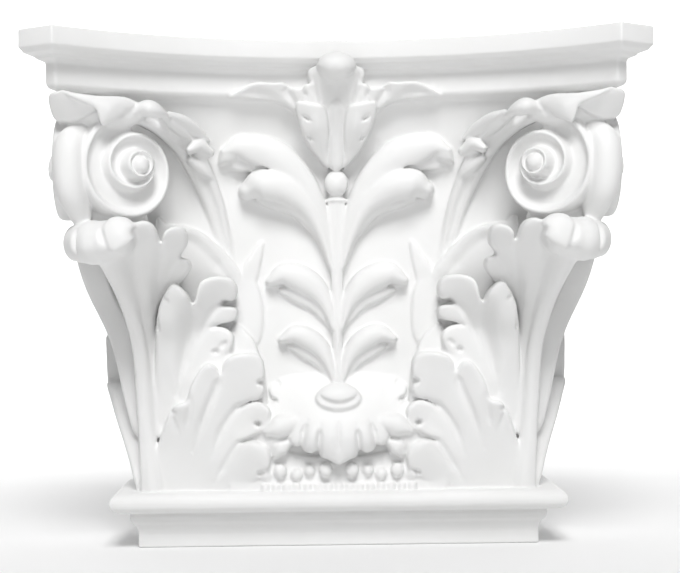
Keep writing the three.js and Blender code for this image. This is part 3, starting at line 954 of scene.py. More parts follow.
@dataclass(frozen=True)
class CornerAcanthus:
    """The great leaf at a corner: rib, rolled tip, and three tiers of lobes on each face."""

    rib: Points3 = ((92.6, -1, 26), (95.4, 4, 62), (96.8, 12.5, 95), (99, 23, 113), (102.5, 36, 129), (107, 50, 146))
    side_lift: float = 7.5  # how much farther the lowest tier stands out on the side
    rib_radius: tuple[float, ...] = (5.6, 4.0, 3.6, 3.6, 4.6, 7)

    @staticmethod
    def upper() -> Leaf:
        """Highest tier: the sheet under the scrolls with three turned-over tips."""
        edge = (
            (97, 60), (99, 97), (101, 121), (106, 136), (108, 146), (103, 156), (98.8, 155.5), (95, 158.3), (90.5, 159.9),
            (86.9, 159.0), (84.9, 155.8), (84.0, 151.4), (82.6, 150.2), (82, 153.3), (79.8, 156.1), (75.7, 157.7),
            (72.4, 157.0), (71.2, 153.6), (71.7, 149), (74.6, 145.5), (75.0, 143.4), (71.4, 142.6), (70.5, 139.4), (72.8, 135.2),
            (77.2, 131.2), (81.4, 129), (85.2, 124.6), (88.2, 119.2), (89.7, 111.9), (90.0, 106), (88.5, 82), (86.9, 57),
        )
        surface = (
            (97, 62, 5), (99, 97, 15), (100, 122, 33), (103, 136, 47), (103, 147, 57), (98, 156, 63), (90, 160, 64),
            (84, 153, 57), (76, 158, 56), (70, 152, 49), (70, 140, 37), (77, 131, 25), (85, 124, 19), (89, 106, 11),
            (88, 82, 6), (87, 57, 2), (91, 142, 46), (91, 127, 30), (80, 142, 40),
        )
        creases = (
            Crease(((82.6, 151), (84, 144), (86.5, 133), (90, 118)), 2.2, 2.0),
            Crease(((74.6, 144), (80, 139), (85, 130)), 1.6, 1.4),
            Crease(((95.5, 156), (96, 146), (96, 130), (95, 110)), 3.0, 1.2),
        )
        return Leaf(edge, surface, creases, thickness=13)

    @staticmethod
    def middle() -> Leaf:
        """Middle tier: a lobe by the rib, a broad lobe and two that curl down."""
        edge = (
            (90.3, 72), (89.2, 104), (87.8, 115.8), (85.4, 122.7), (82.5, 127.5), (79.4, 130.9), (75.7, 129.4), (72.4, 125.4),
            (71.2, 121.8), (69.4, 122.8), (67.7, 129.1), (66.1, 132), (62.3, 134), (56.5, 134.5), (51.3, 133.2), (49, 128.4),
            (50.4, 123.5), (54.1, 122.2), (57.6, 121.3), (54.1, 120.2), (50.2, 119.1), (49.3, 116.2), (51.4, 112.8),
            (58.3, 111.2), (63, 109.4), (59.3, 109.9), (54.9, 109), (51.5, 105.4), (52, 100.4), (55.1, 95.4), (59.6, 93.4),
            (61, 88), (63, 78), (66, 70), (72, 62), (84, 58),
        )
        surface = (
            (90, 72, 5), (88.5, 104, 17), (85, 122, 28), (79, 131, 34), (72, 125, 31), (66, 132, 29), (58, 135, 28), (50, 132, 25),
            (50, 122, 19), (50, 115, 15), (58, 111, 14), (52, 105, 14), (56, 95, 11), (62, 84, 9), (70, 80, 9), (74, 66, 6),
            (72, 110, 16), (62, 122, 20), (80, 95, 14), (80, 112, 24), (84, 62, 4),
        )
        creases = (
            Crease(((70.4, 123), (71.5, 113), (75, 98), (79.7, 76)), 3.6, 3.4),
            Crease(((50, 120.6), (56, 121.4), (62, 117), (67, 108), (71, 96)), 1.6, 2.0),
            Crease(((53, 121.6), (57, 121.6)), 1.3, 7.0, 4),
            Crease(((62, 97.6), (58.5, 97.6)), 1.2, 6.0, 4),
            Crease(((58, 99), (54, 103.5)), 0.9, 2.0),
            Crease(((83.6, 123.5), (81.8, 122.3)), 0.9, 3.0),
        )
        return Leaf(edge, surface, creases, thickness=15)

    @staticmethod
    def lower() -> Leaf:
        """Lowest tier, with a long eye beside the rib."""
        edge = (
            (92.4, 24), (91.6, 40), (88.6, 54), (85.4, 63), (82.6, 69), (79.3, 72), (74.9, 73.4), (72.4, 80.6), (69, 87.1), (66, 90.8),
            (63.6, 92.2), (60.4, 90.8), (57.7, 87.4), (56.2, 91.7), (53.7, 94.7), (49.2, 96.4), (43.8, 96.9), (39, 95.8),
            (36.6, 91.9), (36.5, 85.2), (38.6, 82.4), (36.5, 80), (36.8, 77.1), (39.3, 74), (44.2, 73.1), (48.6, 70.0),
            (43.7, 72.1), (38.8, 72.6), (34.9, 70.1), (33.4, 66.7), (34.9, 61.2), (37.9, 57.9), (42.9, 55.8), (48.3, 53.1),
            (47.8, 52.4), (41.8, 53.2), (36.9, 51.3), (34, 46.9), (34, 41.3), (36.5, 36.3), (40.6, 33.5), (45.6, 31), (50.7, 28), (53.4, 24),
        )
        surface = (
            (92, 26, 1), (88, 47, 5), (82, 67, 13), (78, 73, 17), (72, 81, 18), (64, 93, 21), (57, 88, 17), (49, 97, 21), (39, 96, 19),
            (36.7, 80, 15), (39, 74, 13), (48, 70, 11), (35, 70, 14), (34, 63, 12), (42, 56, 10), (52, 50, 8), (42, 53, 12),
            (34, 47, 12), (35, 38, 9), (45, 31, 4), (53, 26, 1), (65, 60, 10), (58, 42, 6), (70, 38, 3), (50, 84, 16),
        )
        creases = (
            Crease(((57.5, 87.5), (60, 80), (66, 66), (72, 48)), 1.8, 1.8),
            Crease(((72.2, 79), (73, 70), (76, 56)), 1.5, 1.5),
            Crease(((44, 72.6), (50, 69.5), (57, 60), (63, 45)), 1.8, 2.0),
            Crease(((44, 54.6), (50, 51), (56, 42), (62, 32)), 1.8, 2.0),
            Crease(((41.5, 61.7), (38, 61.9)), 1.3, 6.0, 4),
            Crease(((40.5, 36.2), (36.5, 38.2)), 1.2, 6.0, 4),
            Crease(((40, 82.4), (37, 82.5)), 0.9, 4.0, 4),
            Crease(((83, 67.8), (79.5, 68.6)), 0.8, 2.5),
        )
        return Leaf(edge, surface, creases, thickness=14)

    @staticmethod
    def tip() -> tuple[Pebble, ...]:
        """The tip, rolled over below the scrolls in three knuckles."""
        return (
            Pebble((101.0, 57, 152.0), (7.2, 11.4, 8.8)),
            Pebble((107.5, 55.6, 151.0), (9.0, 12.2, 9.4)),
            Pebble((114.0, 53.0, 150.2), (9.0, 12.6, 10.4)),
            Pebble((119.4, 48, 150.2), (7.4, 12.4, 9.4)),
            Pebble((123.8, 41, 150.4), (5.8, 12.0, 8.6)),
            Pebble((124.5, 31, 149.6), (5.0, 12.0, 7.6)),
        )

    @staticmethod
    def on_side(leaf: Leaf, lift: float) -> Leaf:
        """A tier as the side has it.

        Args:
            leaf: The tier on the front.
            lift: How much farther its top stands out; a lifted tier is taller too.

        Returns:
            The tier for the side.
        """
        tall = 1 + 0.027 * lift
        foot = 24.0
        edge = tuple((across, foot + (height - foot) * tall) for across, height in leaf.edge)
        surface = tuple(
            (across, foot + (height - foot) * tall, out + lift * min((height - foot) / 40, 1)) for across, height, out in leaf.surface
        )
        return replace(leaf, edge=edge, surface=surface, facing=Facing.SIDE)

    @staticmethod
    def slits() -> tuple[Finger, ...]:
        """Narrow cuts beside the lobes, each run in from the front."""
        return (
            Finger(((82.2, 68, 34), (80.4, 60, 31), (78.6, 50.5, 29)), (0.5, 1.3, 1.9), rise=0, thickness=22, roundness=0.3),
            Finger(((87.4, 120, 48), (88.0, 114, 45), (87.6, 108.5, 42)), (0.4, 0.9, 1.1), rise=0, thickness=25, roundness=0.3),
        )

    def press(self, clay: Clay, reeds: Reeds) -> None:
        """Adds the leaf to the clay."""
        tiers = (self.lower(), self.middle(), self.upper())
        for leaf, lift in zip(tiers, (self.side_lift, 0.0, 0.0)):
            clay.add(Raised(leaf), 0.8)
            clay.add(Raised(self.on_side(leaf, lift)), 0.8)
        clay.add(Roll(self.rib, self.rib_radius), 2.0)
        clay.add(reeds.grow(((97.4, 2.5, 27), (98.0, 6.5, 62), (99.0, 15, 95), (101.6, 26, 113), (105.5, 40, 130)), 1.5, 1.2), 0.8)
        for knuckle in self.tip():
            clay.add(knuckle, 1.4)
        lap = Leaf(
            edge=((93.6, 157), (97, 161), (104, 161.5), (108, 157), (107, 150), (103.5, 145), (98, 147.6), (94.2, 151.2), (95.6, 154.6)),
            surface=((95, 158, 66), (104, 160, 66), (107, 152, 68), (103, 146, 68.5), (95, 152, 68), (100, 153, 69.5)),
            thickness=5, roundness=2.4,
        )
        clay.add(Raised(lap), 1.2)
        clay.cut(Roll(((109.4, 65.5, 157.5), (108.6, 67.4, 152.4), (106.8, 68.4, 148), (103.8, 68.8, 143)), (0.9, 1.8, 1.4, 0.8)), 0.6)
        clay.cut(Roll(((121.2, 58, 156), (121.4, 59, 151), (121.5, 58.4, 145)), (1.2, 1.6, 0.9)), 0.6)
        for slit in self.slits():
            clay.cut(Raised(slit), 0.5)


@dataclass(frozen=True)
class Calyx:
    """Sheath behind the corner leaf, out of which a scroll stalk grows, with its spur."""

    def press(self, clay: Clay) -> None:
        """Adds the sheath to the clay."""
        sheath = Leaf(
            edge=((88, 158), (82.9, 160.5), (75.5, 159.8), (67.1, 156.6), (60.5, 151.5), (53.9, 144.8), (48.1, 136.9),
                  (46.5, 128), (50, 110), (58, 90), (88, 88)),
            surface=((83, 160, 26), (75, 160, 21), (67, 157, 15), (60, 151, 10), (54, 145, 7), (48, 137, 5), (47, 128, 3),
                     (50, 110, 1.5), (60, 92, 1), (85, 92, 4), (75, 140, 17), (62, 135, 8), (85, 130, 14)),
            creases=(Crease(((80, 156), (69, 150), (61.5, 142.5), (53, 133)), 2.6, 1.6),),
            thickness=16, roundness=1.8,
        )
        spur = Leaf(
            edge=((47.2, 137), (42.3, 146), (37.2, 152.2), (36.9, 147.1), (38.6, 138), (41.5, 128), (46, 122)),
            surface=((46, 138, 4), (42, 146, 3.6), (37, 152, 3), (38, 138, 3), (42, 128, 2.5)),
            thickness=8, roundness=1.2,
        )
        low_leaf = Leaf(
            edge=((50, 129), (44, 132), (39.4, 130), (37, 118), (38.2, 104), (44, 96), (50, 98)),
            surface=((49, 129, 4), (44, 132, 3.5), (37, 118, 2.4), (38, 104, 2), (48, 97, 2), (44, 115, 3.4)),
            thickness=8, roundness=1.4,
        )
        for leaf in (sheath, spur, low_leaf):
            clay.add(Raised(leaf), 0.8)


@dataclass(frozen=True)
class StemOrnament:
    """The stem in the middle with its pairs of leaves and the bead on top."""

    bead_z: float = 180.4

    @staticmethod
    def leaves() -> tuple[Finger, ...]:
        """Leaves of one side, from the highest pair down."""
        return (
            Finger(((3, 148, 3), (9, 167, 6), (17, 181, 9), (30, 193, 13), (45, 198, 15), (55, 195.5, 13)), (2, 4.5, 6.8, 8.4, 6.6, 2.4), rise=3.2),
            Finger(((48, 197, 13), (54, 193.5, 13), (57, 190.5, 11)), (4.5, 4, 1.6), rise=2.4),
            Finger(((56, 188.5, 8), (51, 191, 10.5), (43, 190.8, 10.5), (35, 188, 9)), (2.6, 4.4, 4.4, 1.2), rise=0.8, roundness=1.4),
            Finger(((2.5, 138, 3), (7, 154, 5), (14, 168, 8), (26, 177.5, 12.5), (37, 180, 14), (44, 177, 10)), (1.6, 3.6, 5.6, 7.2, 7.4, 4.6), rise=4),
            Finger(((9, 154, 4), (20, 166.5, 7), (31, 170.5, 8.5), (38, 172.5, 8)), (1.4, 2.6, 2.6, 1.6), rise=1.6),
            Finger(((2, 108, 3), (6, 121, 4.5), (14, 131, 6.5), (25, 135.6, 7), (33.5, 132, 5)), (1.6, 4.2, 6.4, 6, 2.2), rise=3.4,
                   creases=(Crease(((23, 126.6), (20.5, 125.2)), 1.2, 5, 4),)),
            Finger(((5, 111, 2), (12, 121, 3), (20, 125.4, 3.4), (28, 127.4, 3)), (1.4, 3.4, 3.8, 1.4), rise=0.9),
            Finger(((2, 81, 3), (5, 92, 4.5), (11, 101, 6), (20, 105.6, 6.5), (28, 103, 4.5)), (1.4, 3.4, 5, 4.8, 1.8), rise=3,
                   creases=(Crease(((24, 100.2), (21.6, 99)), 1.0, 4, 4),)),
            Finger(((4, 83, 2), (10, 92.6, 2.8), (17, 97.4, 3.2), (24, 99.6, 2.8)), (1.2, 3.0, 3.4, 1.2), rise=0.8),
        )

    def press(self, clay: Clay, reeds: Reeds) -> None:
        """Adds stem, leaves and bead to the clay."""
        for leaf in self.leaves():
            clay.add(Raised(leaf), 0.6)
        under_tip = Finger(((47.2, 181.2, 32), (43.4, 185.6, 32), (37, 188, 32), (31.5, 186.4, 32)), (0.4, 0.8, 0.9, 0.3), rise=0, thickness=22,
                           roundness=0.3)
        clay.cut(Raised(under_tip), 0.4)
        clay.add(Roll(((0, 2, 76), (0, 3, 120), (0, 3, 172)), (2.6, 2.8, 4)), 0.8)
        clay.add(reeds.grow(((0, 5.2, 82), (0, 5.6, 120), (0, 6.4, 172.6)), 1.7, 1.3), 0.4)
        clay.add(reeds.grow(((0.4, 4.4, 96), (1.8, 4.8, 130), (3.6, 5.6, 172.6)), 1.2, 1.4), 0.4)
        clay.add(Pebble((0, 4, 172.2), (5.6, 4.6, 1.5)), 0.5)
        clay.add(Pebble((0, 6, self.bead_z), (6.0, 6.0, 6.5)), 0.3)


@dataclass(frozen=True)
class Fleuron:
    """The flower on the middle of the abacus."""

    def press(self, clay: Clay) -> None:
        """Adds the flower to the clay."""
        sweep = Leaf(
            edge=((2, 190), (6, 200), (14, 209.5), (22, 216), (30, 219.6), (42, 220.6), (51.5, 221.2), (46, 225.2), (39, 228.2),
                  (30, 228.0), (25.5, 228.2), (21, 225.6), (12, 224.8), (2, 222)),
            surface=((2, 192, 9), (8, 200, 13), (16, 210, 18), (25, 217, 22), (38, 221, 23), (51, 221, 24), (46, 225, 26), (39, 228, 27),
                     (28, 227.5, 26), (20, 224, 25), (8, 222, 24), (24, 223, 23)),
            creases=(Crease(((50, 221.5), (38, 223), (26, 218), (14, 206), (6, 194)), 2.4, 1.6),
                     Crease(((25, 228), (22, 221), (14, 211)), 1.8, 1.4)),
            thickness=14, roundness=1.6,
        )
        cup = Leaf(
            edge=((-2, 205), (10, 209), (15.2, 215), (16.4, 220.6), (14.6, 222.2), (16.2, 224.2), (15.2, 226.8), (12.6, 227.6),
                  (13.8, 230.5), (13.2, 233.6), (9.6, 235.2), (5, 235), (-2, 234)),
            surface=((0, 208, 19), (10, 211, 21), (16, 220, 25), (15, 226, 28), (13, 233, 31), (6, 234, 33), (0, 234, 33), (0, 222, 26), (8, 222, 27)),
            creases=(Crease(((11.5, 233), (10.5, 226), (8, 216)), 1.2, 1.4), Crease(((13, 226.6), (11, 222), (8, 214)), 1.2, 1.2),
                     Crease(((0, 231), (0, 222), (0, 212)), 4.5, 1.8)),
            thickness=16, roundness=2.0,
        )
        petal = Leaf(
            edge=((3.6, 188), (4.2, 196), (3.8, 206), (4.6, 213), (6.4, 216.6), (11, 217.4), (18.4, 218.8), (19.6, 215.6), (18, 209),
                  (15.2, 202), (11.4, 196), (7, 190.6), (3.4, 187)),
            surface=((3, 189, 10), (4, 200, 17), (5, 212, 24), (12, 217, 27), (19, 218, 27), (18, 209, 22), (14, 200, 17), (9, 194, 13), (9, 206, 22)),
            creases=(Crease(((16.6, 212.6), (12.4, 209.4)), 0.7, 2.6, 4), Crease(((14.2, 203.6), (11.6, 200.4)), 0.7, 2.6, 4),
                     Crease(((9, 216), (9, 204), (6, 194)), 2.0, -0.8)),
            thickness=14, roundness=1.6,
        )
        for leaf in (sweep, cup, petal):
            clay.add(Raised(leaf), 0.6)
        clay.add(Roll(((0, 9, 190), (0, 15, 205), (0, 20, 216)), (3.6, 3.8, 4.4)), 1.0)
        clay.add(Pebble((0, 32.5, 235.0), (9.4, 9.0, 6.4)), 0.4)


@dataclass(frozen=True)
class FootLeaf:
    """The turned-down leaf at the foot, the cup of the stem on it, and the pegs below."""

    peg_count: int = 15
    peg_pitch: float = 5.2
    cup_lip: Points3 = ((-10.8, 12.6, 77.6), (-8, 15.6, 73.6), (0, 17.4, 71.4), (8, 15.6, 73.6), (10.8, 12.6, 77.6))

    @staticmethod
    def leaf() -> Leaf:
        """The broad leaf that falls forward and turns down."""
        edge = (
            (-4, 87), (14, 85.8), (28, 84.6), (31.6, 82.4), (34.5, 79), (33.5, 74), (35.5, 69), (34, 64.5), (30.5, 60.5), (25.5, 58),
            (24.2, 53.5), (21.4, 50.6), (18.4, 51.4), (17.6, 48.8), (13.6, 47.2), (10.2, 48.8), (9.2, 45.6), (5.5, 44.2), (0, 41.4), (-4, 42),
        )
        surface = (
            (0, 87, 1), (14, 86, 1), (30, 83, 1), (34, 78, 3), (33, 72, 6), (35, 66, 8), (25, 60, 13), (23, 52, 13.5), (13, 48, 14.5),
            (0, 42, 14.5), (0, 50, 17), (13, 55, 17), (0, 60, 17.5), (0, 72, 11), (16, 72, 10), (18, 62, 14), (26, 70, 8),
        )
        creases = (
            Crease(((9.6, 43), (9.8, 52), (8.6, 62)), 1.3, 3.2),
            Crease(((18.0, 47.6), (17.6, 56), (15.0, 64)), 1.2, 2.6),
            Crease(((24.4, 54), (23, 60), (20, 66)), 1.2, 2.0),
            Crease(((0, 46), (0, 56), (0, 66)), 0.7, 1.6),
            Crease(((4.8, 44), (5, 52), (4, 60)), 2.2, -0.9),
            Crease(((14, 48), (13.8, 55), (12, 62)), 2.0, -0.9),
            Crease(((30.6, 82.6), (29, 80.2)), 1.0, 3.0, 4),
            Crease(((33.6, 74), (30, 72)), 1.2, 5.0, 4),
            Crease(((18.2, 59), (18.2, 57)), 0.6, 2.0, 4),
        )
        return Leaf(edge, surface, creases, thickness=14, roundness=2.4)

    def press(self, clay: Clay, material: bpy.types.Material) -> None:
        """Adds the leaf, the cup and the row of pegs to the clay."""
        clay.add(Raised(self.leaf()), 0.6)
        web = Leaf(
            edge=((28, 24), (54, 24), (54, 104), (44, 106), (38, 92), (35, 70), (33, 50)),
            surface=((30, 28, 4.5), (52, 28, 3.5), (52, 100, 6), (42, 100, 7), (36, 60, 6)),
        )
        skirt = Leaf(
            edge=((-6, 24), (42, 24), (41, 38), (36, 45), (26, 47), (14, 45), (-6, 42)),
            surface=((0, 27, 5.5), (0, 40, 4.5), (20, 30, 5.0), (38, 30, 4.5), (38, 42, 3.5), (20, 45, 3.5)),
        )
        wing = Finger(((22, 62.5, 11), (29, 60.5, 13), (35.5, 58, 11)), (4, 5.4, 2.2), rise=3, thickness=12)
        lobe = Finger(((24, 53.5, 8), (28.5, 50.0, 10), (31, 46.4, 8)), (2.4, 4.2, 2.4), rise=2.5, thickness=12)
        for piece in (web, skirt, wing, lobe):
            clay.add(Raised(piece), 0.8)
        clay.add(Pebble((57.5, 6, 91), (9, 5, 9)), 1.5)
        clay.add(Pebble((32.5, 5, 54), (7, 5.5, 7)), 1.5)
        clay.add(Pebble((0, 10.5, 74), (11.4, 7.4, 7.2)), 0.3)
        clay.cut(Roll(self.cup_lip, (0.9, 1.5, 1.7, 1.5, 0.9)), 0.25)
        clay.add(Pebble((0, 9.5, 79.5), (6.4, 4.4, 2.4)), 0.6)
        for x, p, z, size in ((6.5, 7, 38.5, 3.4), (14.5, 5.5, 38, 2.6), (21, 5.5, 36, 2.8), (29, 6, 38, 3.2), (36, 4.5, 36, 2.6)):
            clay.add(Pebble((x, p, z), (size, size, size * 1.15)), 1.6)
        row = grown(row_tree(), bpy.data.meshes.new("row"), {
            "Count": self.peg_count,
            "Pitch": self.peg_pitch,
            "Radius": 2.1,
            "Height": 5.6,
            "Material": material,
        })
        lift = np.array([0.0, 5.6, 29.0], np.float32)
        clay.add(Pressed(row.points + lift, row.faces), 0.6)


# ---- finishes -----------------------------------------------------------------------------------------
class Value:
    """A shader socket that can be used in ordinary arithmetic."""

    def __init__(self, shader: "Shader", socket: bpy.types.NodeSocket) -> None:
        """Wraps a socket of a shader."""
        self.shader = shader
        self.socket = socket

    def _maths(self, operation: str, *others: object) -> "Value":
        """Result of a Math node on this value and others."""
        return self.shader.node("ShaderNodeMath", {"operation": operation}, {
            place: value for place, value in enumerate((self, *others))
        })

    def __add__(self, other: object) -> "Value":
        """Sum."""
        return self._maths("ADD", other)

    def __sub__(self, other: object) -> "Value":
        """Difference."""
        return self._maths("SUBTRACT", other)

    def __rsub__(self, other: float) -> "Value":
        """Difference from a number."""
        return self.shader.node("ShaderNodeMath", {"operation": "SUBTRACT"}, {0: other, 1: self})

    def __mul__(self, other: object) -> "Value":
        """Product."""
        return self._maths("MULTIPLY", other)

    __radd__ = __add__
    __rmul__ = __mul__

    def between(self, low: float, high: float) -> "Value":
        """Smooth step from 0 at low to 1 at high."""
        return self.shader.node("ShaderNodeMapRange", {"interpolation_type": "SMOOTHSTEP"}, {
            "Value": self, "From Min": low, "From Max": high,
        })


class Shader:
    """Builds one material on a Principled surface."""

    def __init__(self, name: str) -> None:
        """Makes the material with its surface node."""
        self.material = bpy.data.materials.new(name)
        self.material.use_nodes = True
        self.tree = self.material.node_tree
        self.surface = self.tree.nodes["Principled BSDF"]

    def _feed(self, socket: bpy.types.NodeSocket, value: object) -> None:
        """Sets a socket, or links it."""
        if isinstance(value, Value):
            self.tree.links.new(value.socket, socket)
        else:
            socket.default_value = value

    def node(self, kind: str, settings: dict[str, object] | None = None,
             values: dict[object, object] | None = None, output: int | str = 0) -> Value:
        """Adds a node.

        Args:
            kind: Node type.
            settings: Properties that are set first.
            values: Values or links of its inputs, by name or place.
            output: The output to return.

        Returns:
            The output as a value.
        """
        made = self.tree.nodes.new(kind)
        for name, value in (settings or {}).items():
            setattr(made, name, value)
        for key, value in (values or {}).items():
            self._feed(made.inputs[key], value)
        return Value(self, made.outputs[output])

    def noise(self, place: Value, scale: float, detail: float = 3.0, roughness: float = 0.5) -> Value:
        """Noise at this scale, in features for each metre."""
        return self.node("ShaderNodeTexNoise", None, {
            "Vector": place, "Scale": scale, "Detail": detail, "Roughness": roughness,
        }, "Fac")

    def blend(self, share: Value, first: tuple[float, ...], second: tuple[float, ...]) -> Value:
        """Colour that runs from first to second."""
        made = self.tree.nodes.new("ShaderNodeMix")
        made.data_type = "RGBA"
        self._feed(made.inputs["Factor"], share)
        made.inputs["A"].default_value = (*first, 1)
        made.inputs["B"].default_value = (*second, 1)
        return Value(self, made.outputs["Result"])

    def set(self, name: str, value: object) -> None:
        """Sets or links an input of the surface."""
        self._feed(self.surface.inputs[name], value)


@dataclass(frozen=True)
class WhitePrimer:
    """White satin-matte primer on a smooth moulding.

    Attributes:
        colour: Colour of the open surface.
        deep_colour: Colour where the primer lies a little thicker.
        roughness: Mean roughness.
        grain_height: Height of the spray grain, in metres.
    """

    colour: tuple[float, float, float] = (0.8, 0.8, 0.797)
    deep_colour: tuple[float, float, float] = (0.78, 0.78, 0.774)
    roughness: float = 0.56
    grain_height: float = 0.00004

    def material(self) -> bpy.types.Material:
        """The primer as a material."""
        shader = Shader("white_primer")
        place = shader.node("ShaderNodeTexCoord", output="Object")
        cloud = shader.noise(place, 22.0, 4.0).between(0.35, 0.7)
        grain = shader.noise(place, 1400.0, 2.0)
        pores = shader.noise(place, 420.0, 3.0, 0.6).between(0.62, 0.78)
        shader.set("Base Color", shader.blend(cloud, self.colour, self.deep_colour))
        shader.set("Roughness", cloud * 0.08 + pores * 0.05 + self.roughness)
        shader.set("Specular IOR Level", 0.4)
        bump = shader.node("ShaderNodeBump", None, {
            "Height": grain * 0.7 + pores * -0.6, "Strength": 0.5, "Distance": self.grain_height,
        }, "Normal")
        shader.set("Normal", bump)
        return shader.material


@dataclass(frozen=True)
class StudioSheet:
    """Seamless pale paper under the capital; where it runs up into a backdrop it glows by itself as painted light, with
    no lamp behind it.

    Attributes:
        colour: Colour of the paper.
        floor_glow: Light that the floor gives by itself.
        wall_glow: Light that the backdrop gives by itself.
        glow_from: How far behind the capital the glow starts, in metres.
        glow_full: How far behind it the glow is full.
    """

    colour: float = 0.85
    floor_glow: float = 0.02
    wall_glow: float = 0.8
    glow_from: float = 0.1
    glow_full: float = 0.9

    def material(self) -> bpy.types.Material:
        """The paper as a material."""
        shader = Shader("studio_sheet")
        place = shader.node("ShaderNodeTexCoord", output="Object")
        depth = shader.node("ShaderNodeSeparateXYZ", None, {"Vector": place}, "Y")
        painted_glow_share = depth.between(self.glow_from, self.glow_full)
        shader.set("Base Color", (self.colour, self.colour, self.colour, 1))
        shader.set("Roughness", 0.9)
        shader.set("Specular IOR Level", 0.1)
        # painted glow: emission colour runs from the floor to the backdrop and stands in for light from behind the
        # paper
        shader.set("Emission Color", shader.blend(painted_glow_share, (self.floor_glow,) * 3, (self.wall_glow,) * 3))
        shader.set("Emission Strength", 1.0)
        return shader.material


# ---- the casting ---------------------------------------------------------------------------------------
@dataclass(frozen=True)
class Casting:
    """The whole capital as one closed mesh.

    Attributes:
        low: Lowest corner of the solid that it stands for, in metres.
        high: Highest corner of it.
        grain: Spacing of the clay grid in millimetres.
        front_reach: Projection of the farthest corner in front of the shaft.
        most_faces: The mesh is thinned to this many triangles.
    """

    low: Vector
    high: Vector
    grain: float
    front_reach: float = 75.0
    most_faces: int = 190000

    def carve(self, primer: bpy.types.Material) -> Clay:
        """Builds the clay from the sub-assemblies."""
        size = (self.high - self.low) / MM
        clay = Clay(size.x / 2, self.front_reach - size.y, self.front_reach, size.z, self.grain)
        reeds = Reeds(primer)
        clay.add(Bell(wall=-60.0), 0)
        CornerAcanthus().press(clay, reeds)
        log.info("corner leaf pressed")
        Calyx().press(clay)
        CornerScrolls().press(clay)
        log.info("scrolls pressed")
        StemOrnament().press(clay, reeds)
        FootLeaf().press(clay, primer)
        clay.soften(1)
        Mouldings(height=size.z).press(clay)
        Fleuron().press(clay)
        clay.soften(1)
        flat_back = (self.front_reach - size.y) - clay.axes[1]
        clay.depth = np.maximum(clay.depth, flat_back[None, :, None])
        return clay

    def build(self, primer: bpy.types.Material) -> bpy.types.Object:
        """Makes the casting.

        Args:
            primer: Its finish.

        Returns:
            The finished object, placed as the solid is.
        """
        points, quads = self.carve(primer).skin()
        log.info("skin of %d faces", len(quads))
        y = self.low.y / MM + self.front_reach - points[:, 1]
        placed = np.c_[points[:, 0], y, points[:, 2]] * MM
        placed = np.clip(placed, np.array(self.low), np.array(self.high))
        mesh = bpy.data.meshes.new("casting")
        mesh.vertices.add(len(placed))
        mesh.vertices.foreach_set("co", placed.astype(np.float32).ravel())
        mesh.loops.add(quads.size)
        mesh.loops.foreach_set("vertex_index", quads.astype(np.int32).ravel())
        mesh.polygons.add(len(quads))
        mesh.polygons.foreach_set("loop_start", np.arange(0, quads.size, 4, dtype=np.int32))
        mesh.update(calc_edges=True)
        raw = bpy.data.objects.new("raw", mesh)
        bpy.context.scene.collection.objects.link(raw)
        thin = raw.modifiers.new("thin", "DECIMATE")
        thin.ratio = min(1.0, self.most_faces / (2 * len(quads)))
        thin.use_collapse_triangulate = True
        depsgraph = bpy.context.evaluated_depsgraph_get()
        finished = bpy.data.meshes.new_from_object(raw.evaluated_get(depsgraph), depsgraph=depsgraph)
        bpy.data.objects.remove(raw)
        finished.shade_smooth()
        finished.set_sharp_from_angle(angle=math.radians(38))
        finished.materials.clear()
        finished.materials.append(primer)
        casting = bpy.data.objects.new("capital_casting", finished)
        bpy.context.scene.collection.objects.link(casting)
        return casting


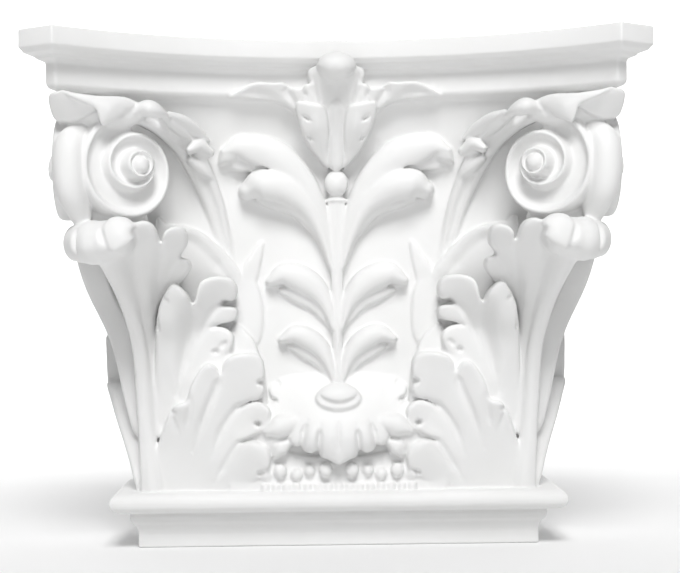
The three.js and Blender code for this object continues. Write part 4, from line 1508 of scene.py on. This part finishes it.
# ---- the studio ------------------------------------------------------------------------------------------
@dataclass(frozen=True)
class Studio:
    """Camera, lights, floor and backdrop.

    Attributes:
        distance: Camera to the front plane of the shaft.
        eye_height: Height of the camera.
        orbit: Degrees that the camera stands round to the left.
        pitch: Degrees that it looks up.
        pan: Degrees that it looks to the right.
        roll: Degrees that it is tipped.
    """

    shaft_y: float
    distance: float = 0.775
    eye_height: float = 0.1225
    orbit: float = 1.2
    pitch: float = 0.5
    pan: float = 0.11
    roll: float = 0.53
    lens: float = 82.06

    def camera(self) -> None:
        """Sets the camera up."""
        turn = math.radians(self.orbit)
        data = bpy.data.cameras.new("camera")
        data.lens = self.lens
        data.sensor_width = 36.0
        data.clip_start = 0.05
        eye = bpy.data.objects.new("camera", data)
        eye.location = (-math.sin(turn) * self.distance, self.shaft_y - math.cos(turn) * self.distance, self.eye_height)
        eye.rotation_euler = (
            math.radians(90 + self.pitch), math.radians(self.roll), -turn - math.radians(self.pan),
        )
        bpy.context.scene.collection.objects.link(eye)
        bpy.context.scene.camera = eye

    @staticmethod
    def lamp(name: str, place: tuple[float, float, float], size: float, power: float) -> None:
        """A soft square lamp that looks at the middle of the capital."""
        data = bpy.data.lights.new(name, "AREA")
        data.shape = "SQUARE"
        data.size = size
        data.energy = power
        lamp = bpy.data.objects.new(name, data)
        lamp.location = place
        lamp.rotation_euler = (Vector((0, 0, 0.12)) - Vector(place)).to_track_quat("-Z", "Y").to_euler()
        bpy.context.scene.collection.objects.link(lamp)

    def light(self) -> None:
        """Sets the lights and the sky up."""
        self.lamp("top_light", (0.0, -1.6, 1.8), 0.8, 46.0)
        self.lamp("front_light", (0.0, -2.2, 0.35), 1.2, 6.0)
        world = bpy.data.worlds.new("studio")
        world.use_nodes = True
        world.node_tree.nodes["Background"].inputs["Color"].default_value = (1, 1, 1, 1)
        world.node_tree.nodes["Background"].inputs["Strength"].default_value = 0.07
        bpy.context.scene.world = world
        bpy.context.scene.view_settings.view_transform = "Standard"

    @staticmethod
    def sheet() -> bpy.types.Object:
        """Floor that runs up into a backdrop."""
        floor_y, wall_y, bend, wide = -3.0, 1.4, 0.5, 4.0
        curve = [(floor_y, 0.0)]
        for step in range(13):
            angle = math.radians(90 * step / 12)
            curve.append((wall_y - bend + bend * math.sin(angle), bend - bend * math.cos(angle)))
        curve.append((wall_y, 3.5))
        points = [(x, y, z) for y, z in curve for x in (-wide, wide)]
        faces = [(2 * i, 2 * i + 1, 2 * i + 3, 2 * i + 2) for i in range(len(curve) - 1)]
        mesh = bpy.data.meshes.new("studio_sheet")
        mesh.from_pydata(points, [], faces)
        mesh.shade_smooth()
        mesh.materials.append(StudioSheet().material())
        sheet = bpy.data.objects.new("studio_sheet", mesh)
        bpy.context.scene.collection.objects.link(sheet)
        return sheet


def main() -> None:
    """Builds the studio and the capital, and reports each piece."""
    logging.basicConfig(level=logging.INFO, format="%(relativeCreated)d %(message)s")
    low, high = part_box(NODE)
    studio = Studio(shaft_y=low.y + Casting.front_reach * MM)
    studio.camera()
    studio.light()
    studio.sheet()
    casting = Casting(low, high, grain=0.6).build(WhitePrimer().material())
    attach(casting, "root")
    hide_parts(NODE)
    log.info("capital casting: %d triangles", len(casting.data.polygons))


if __name__ == "__main__":
    main()
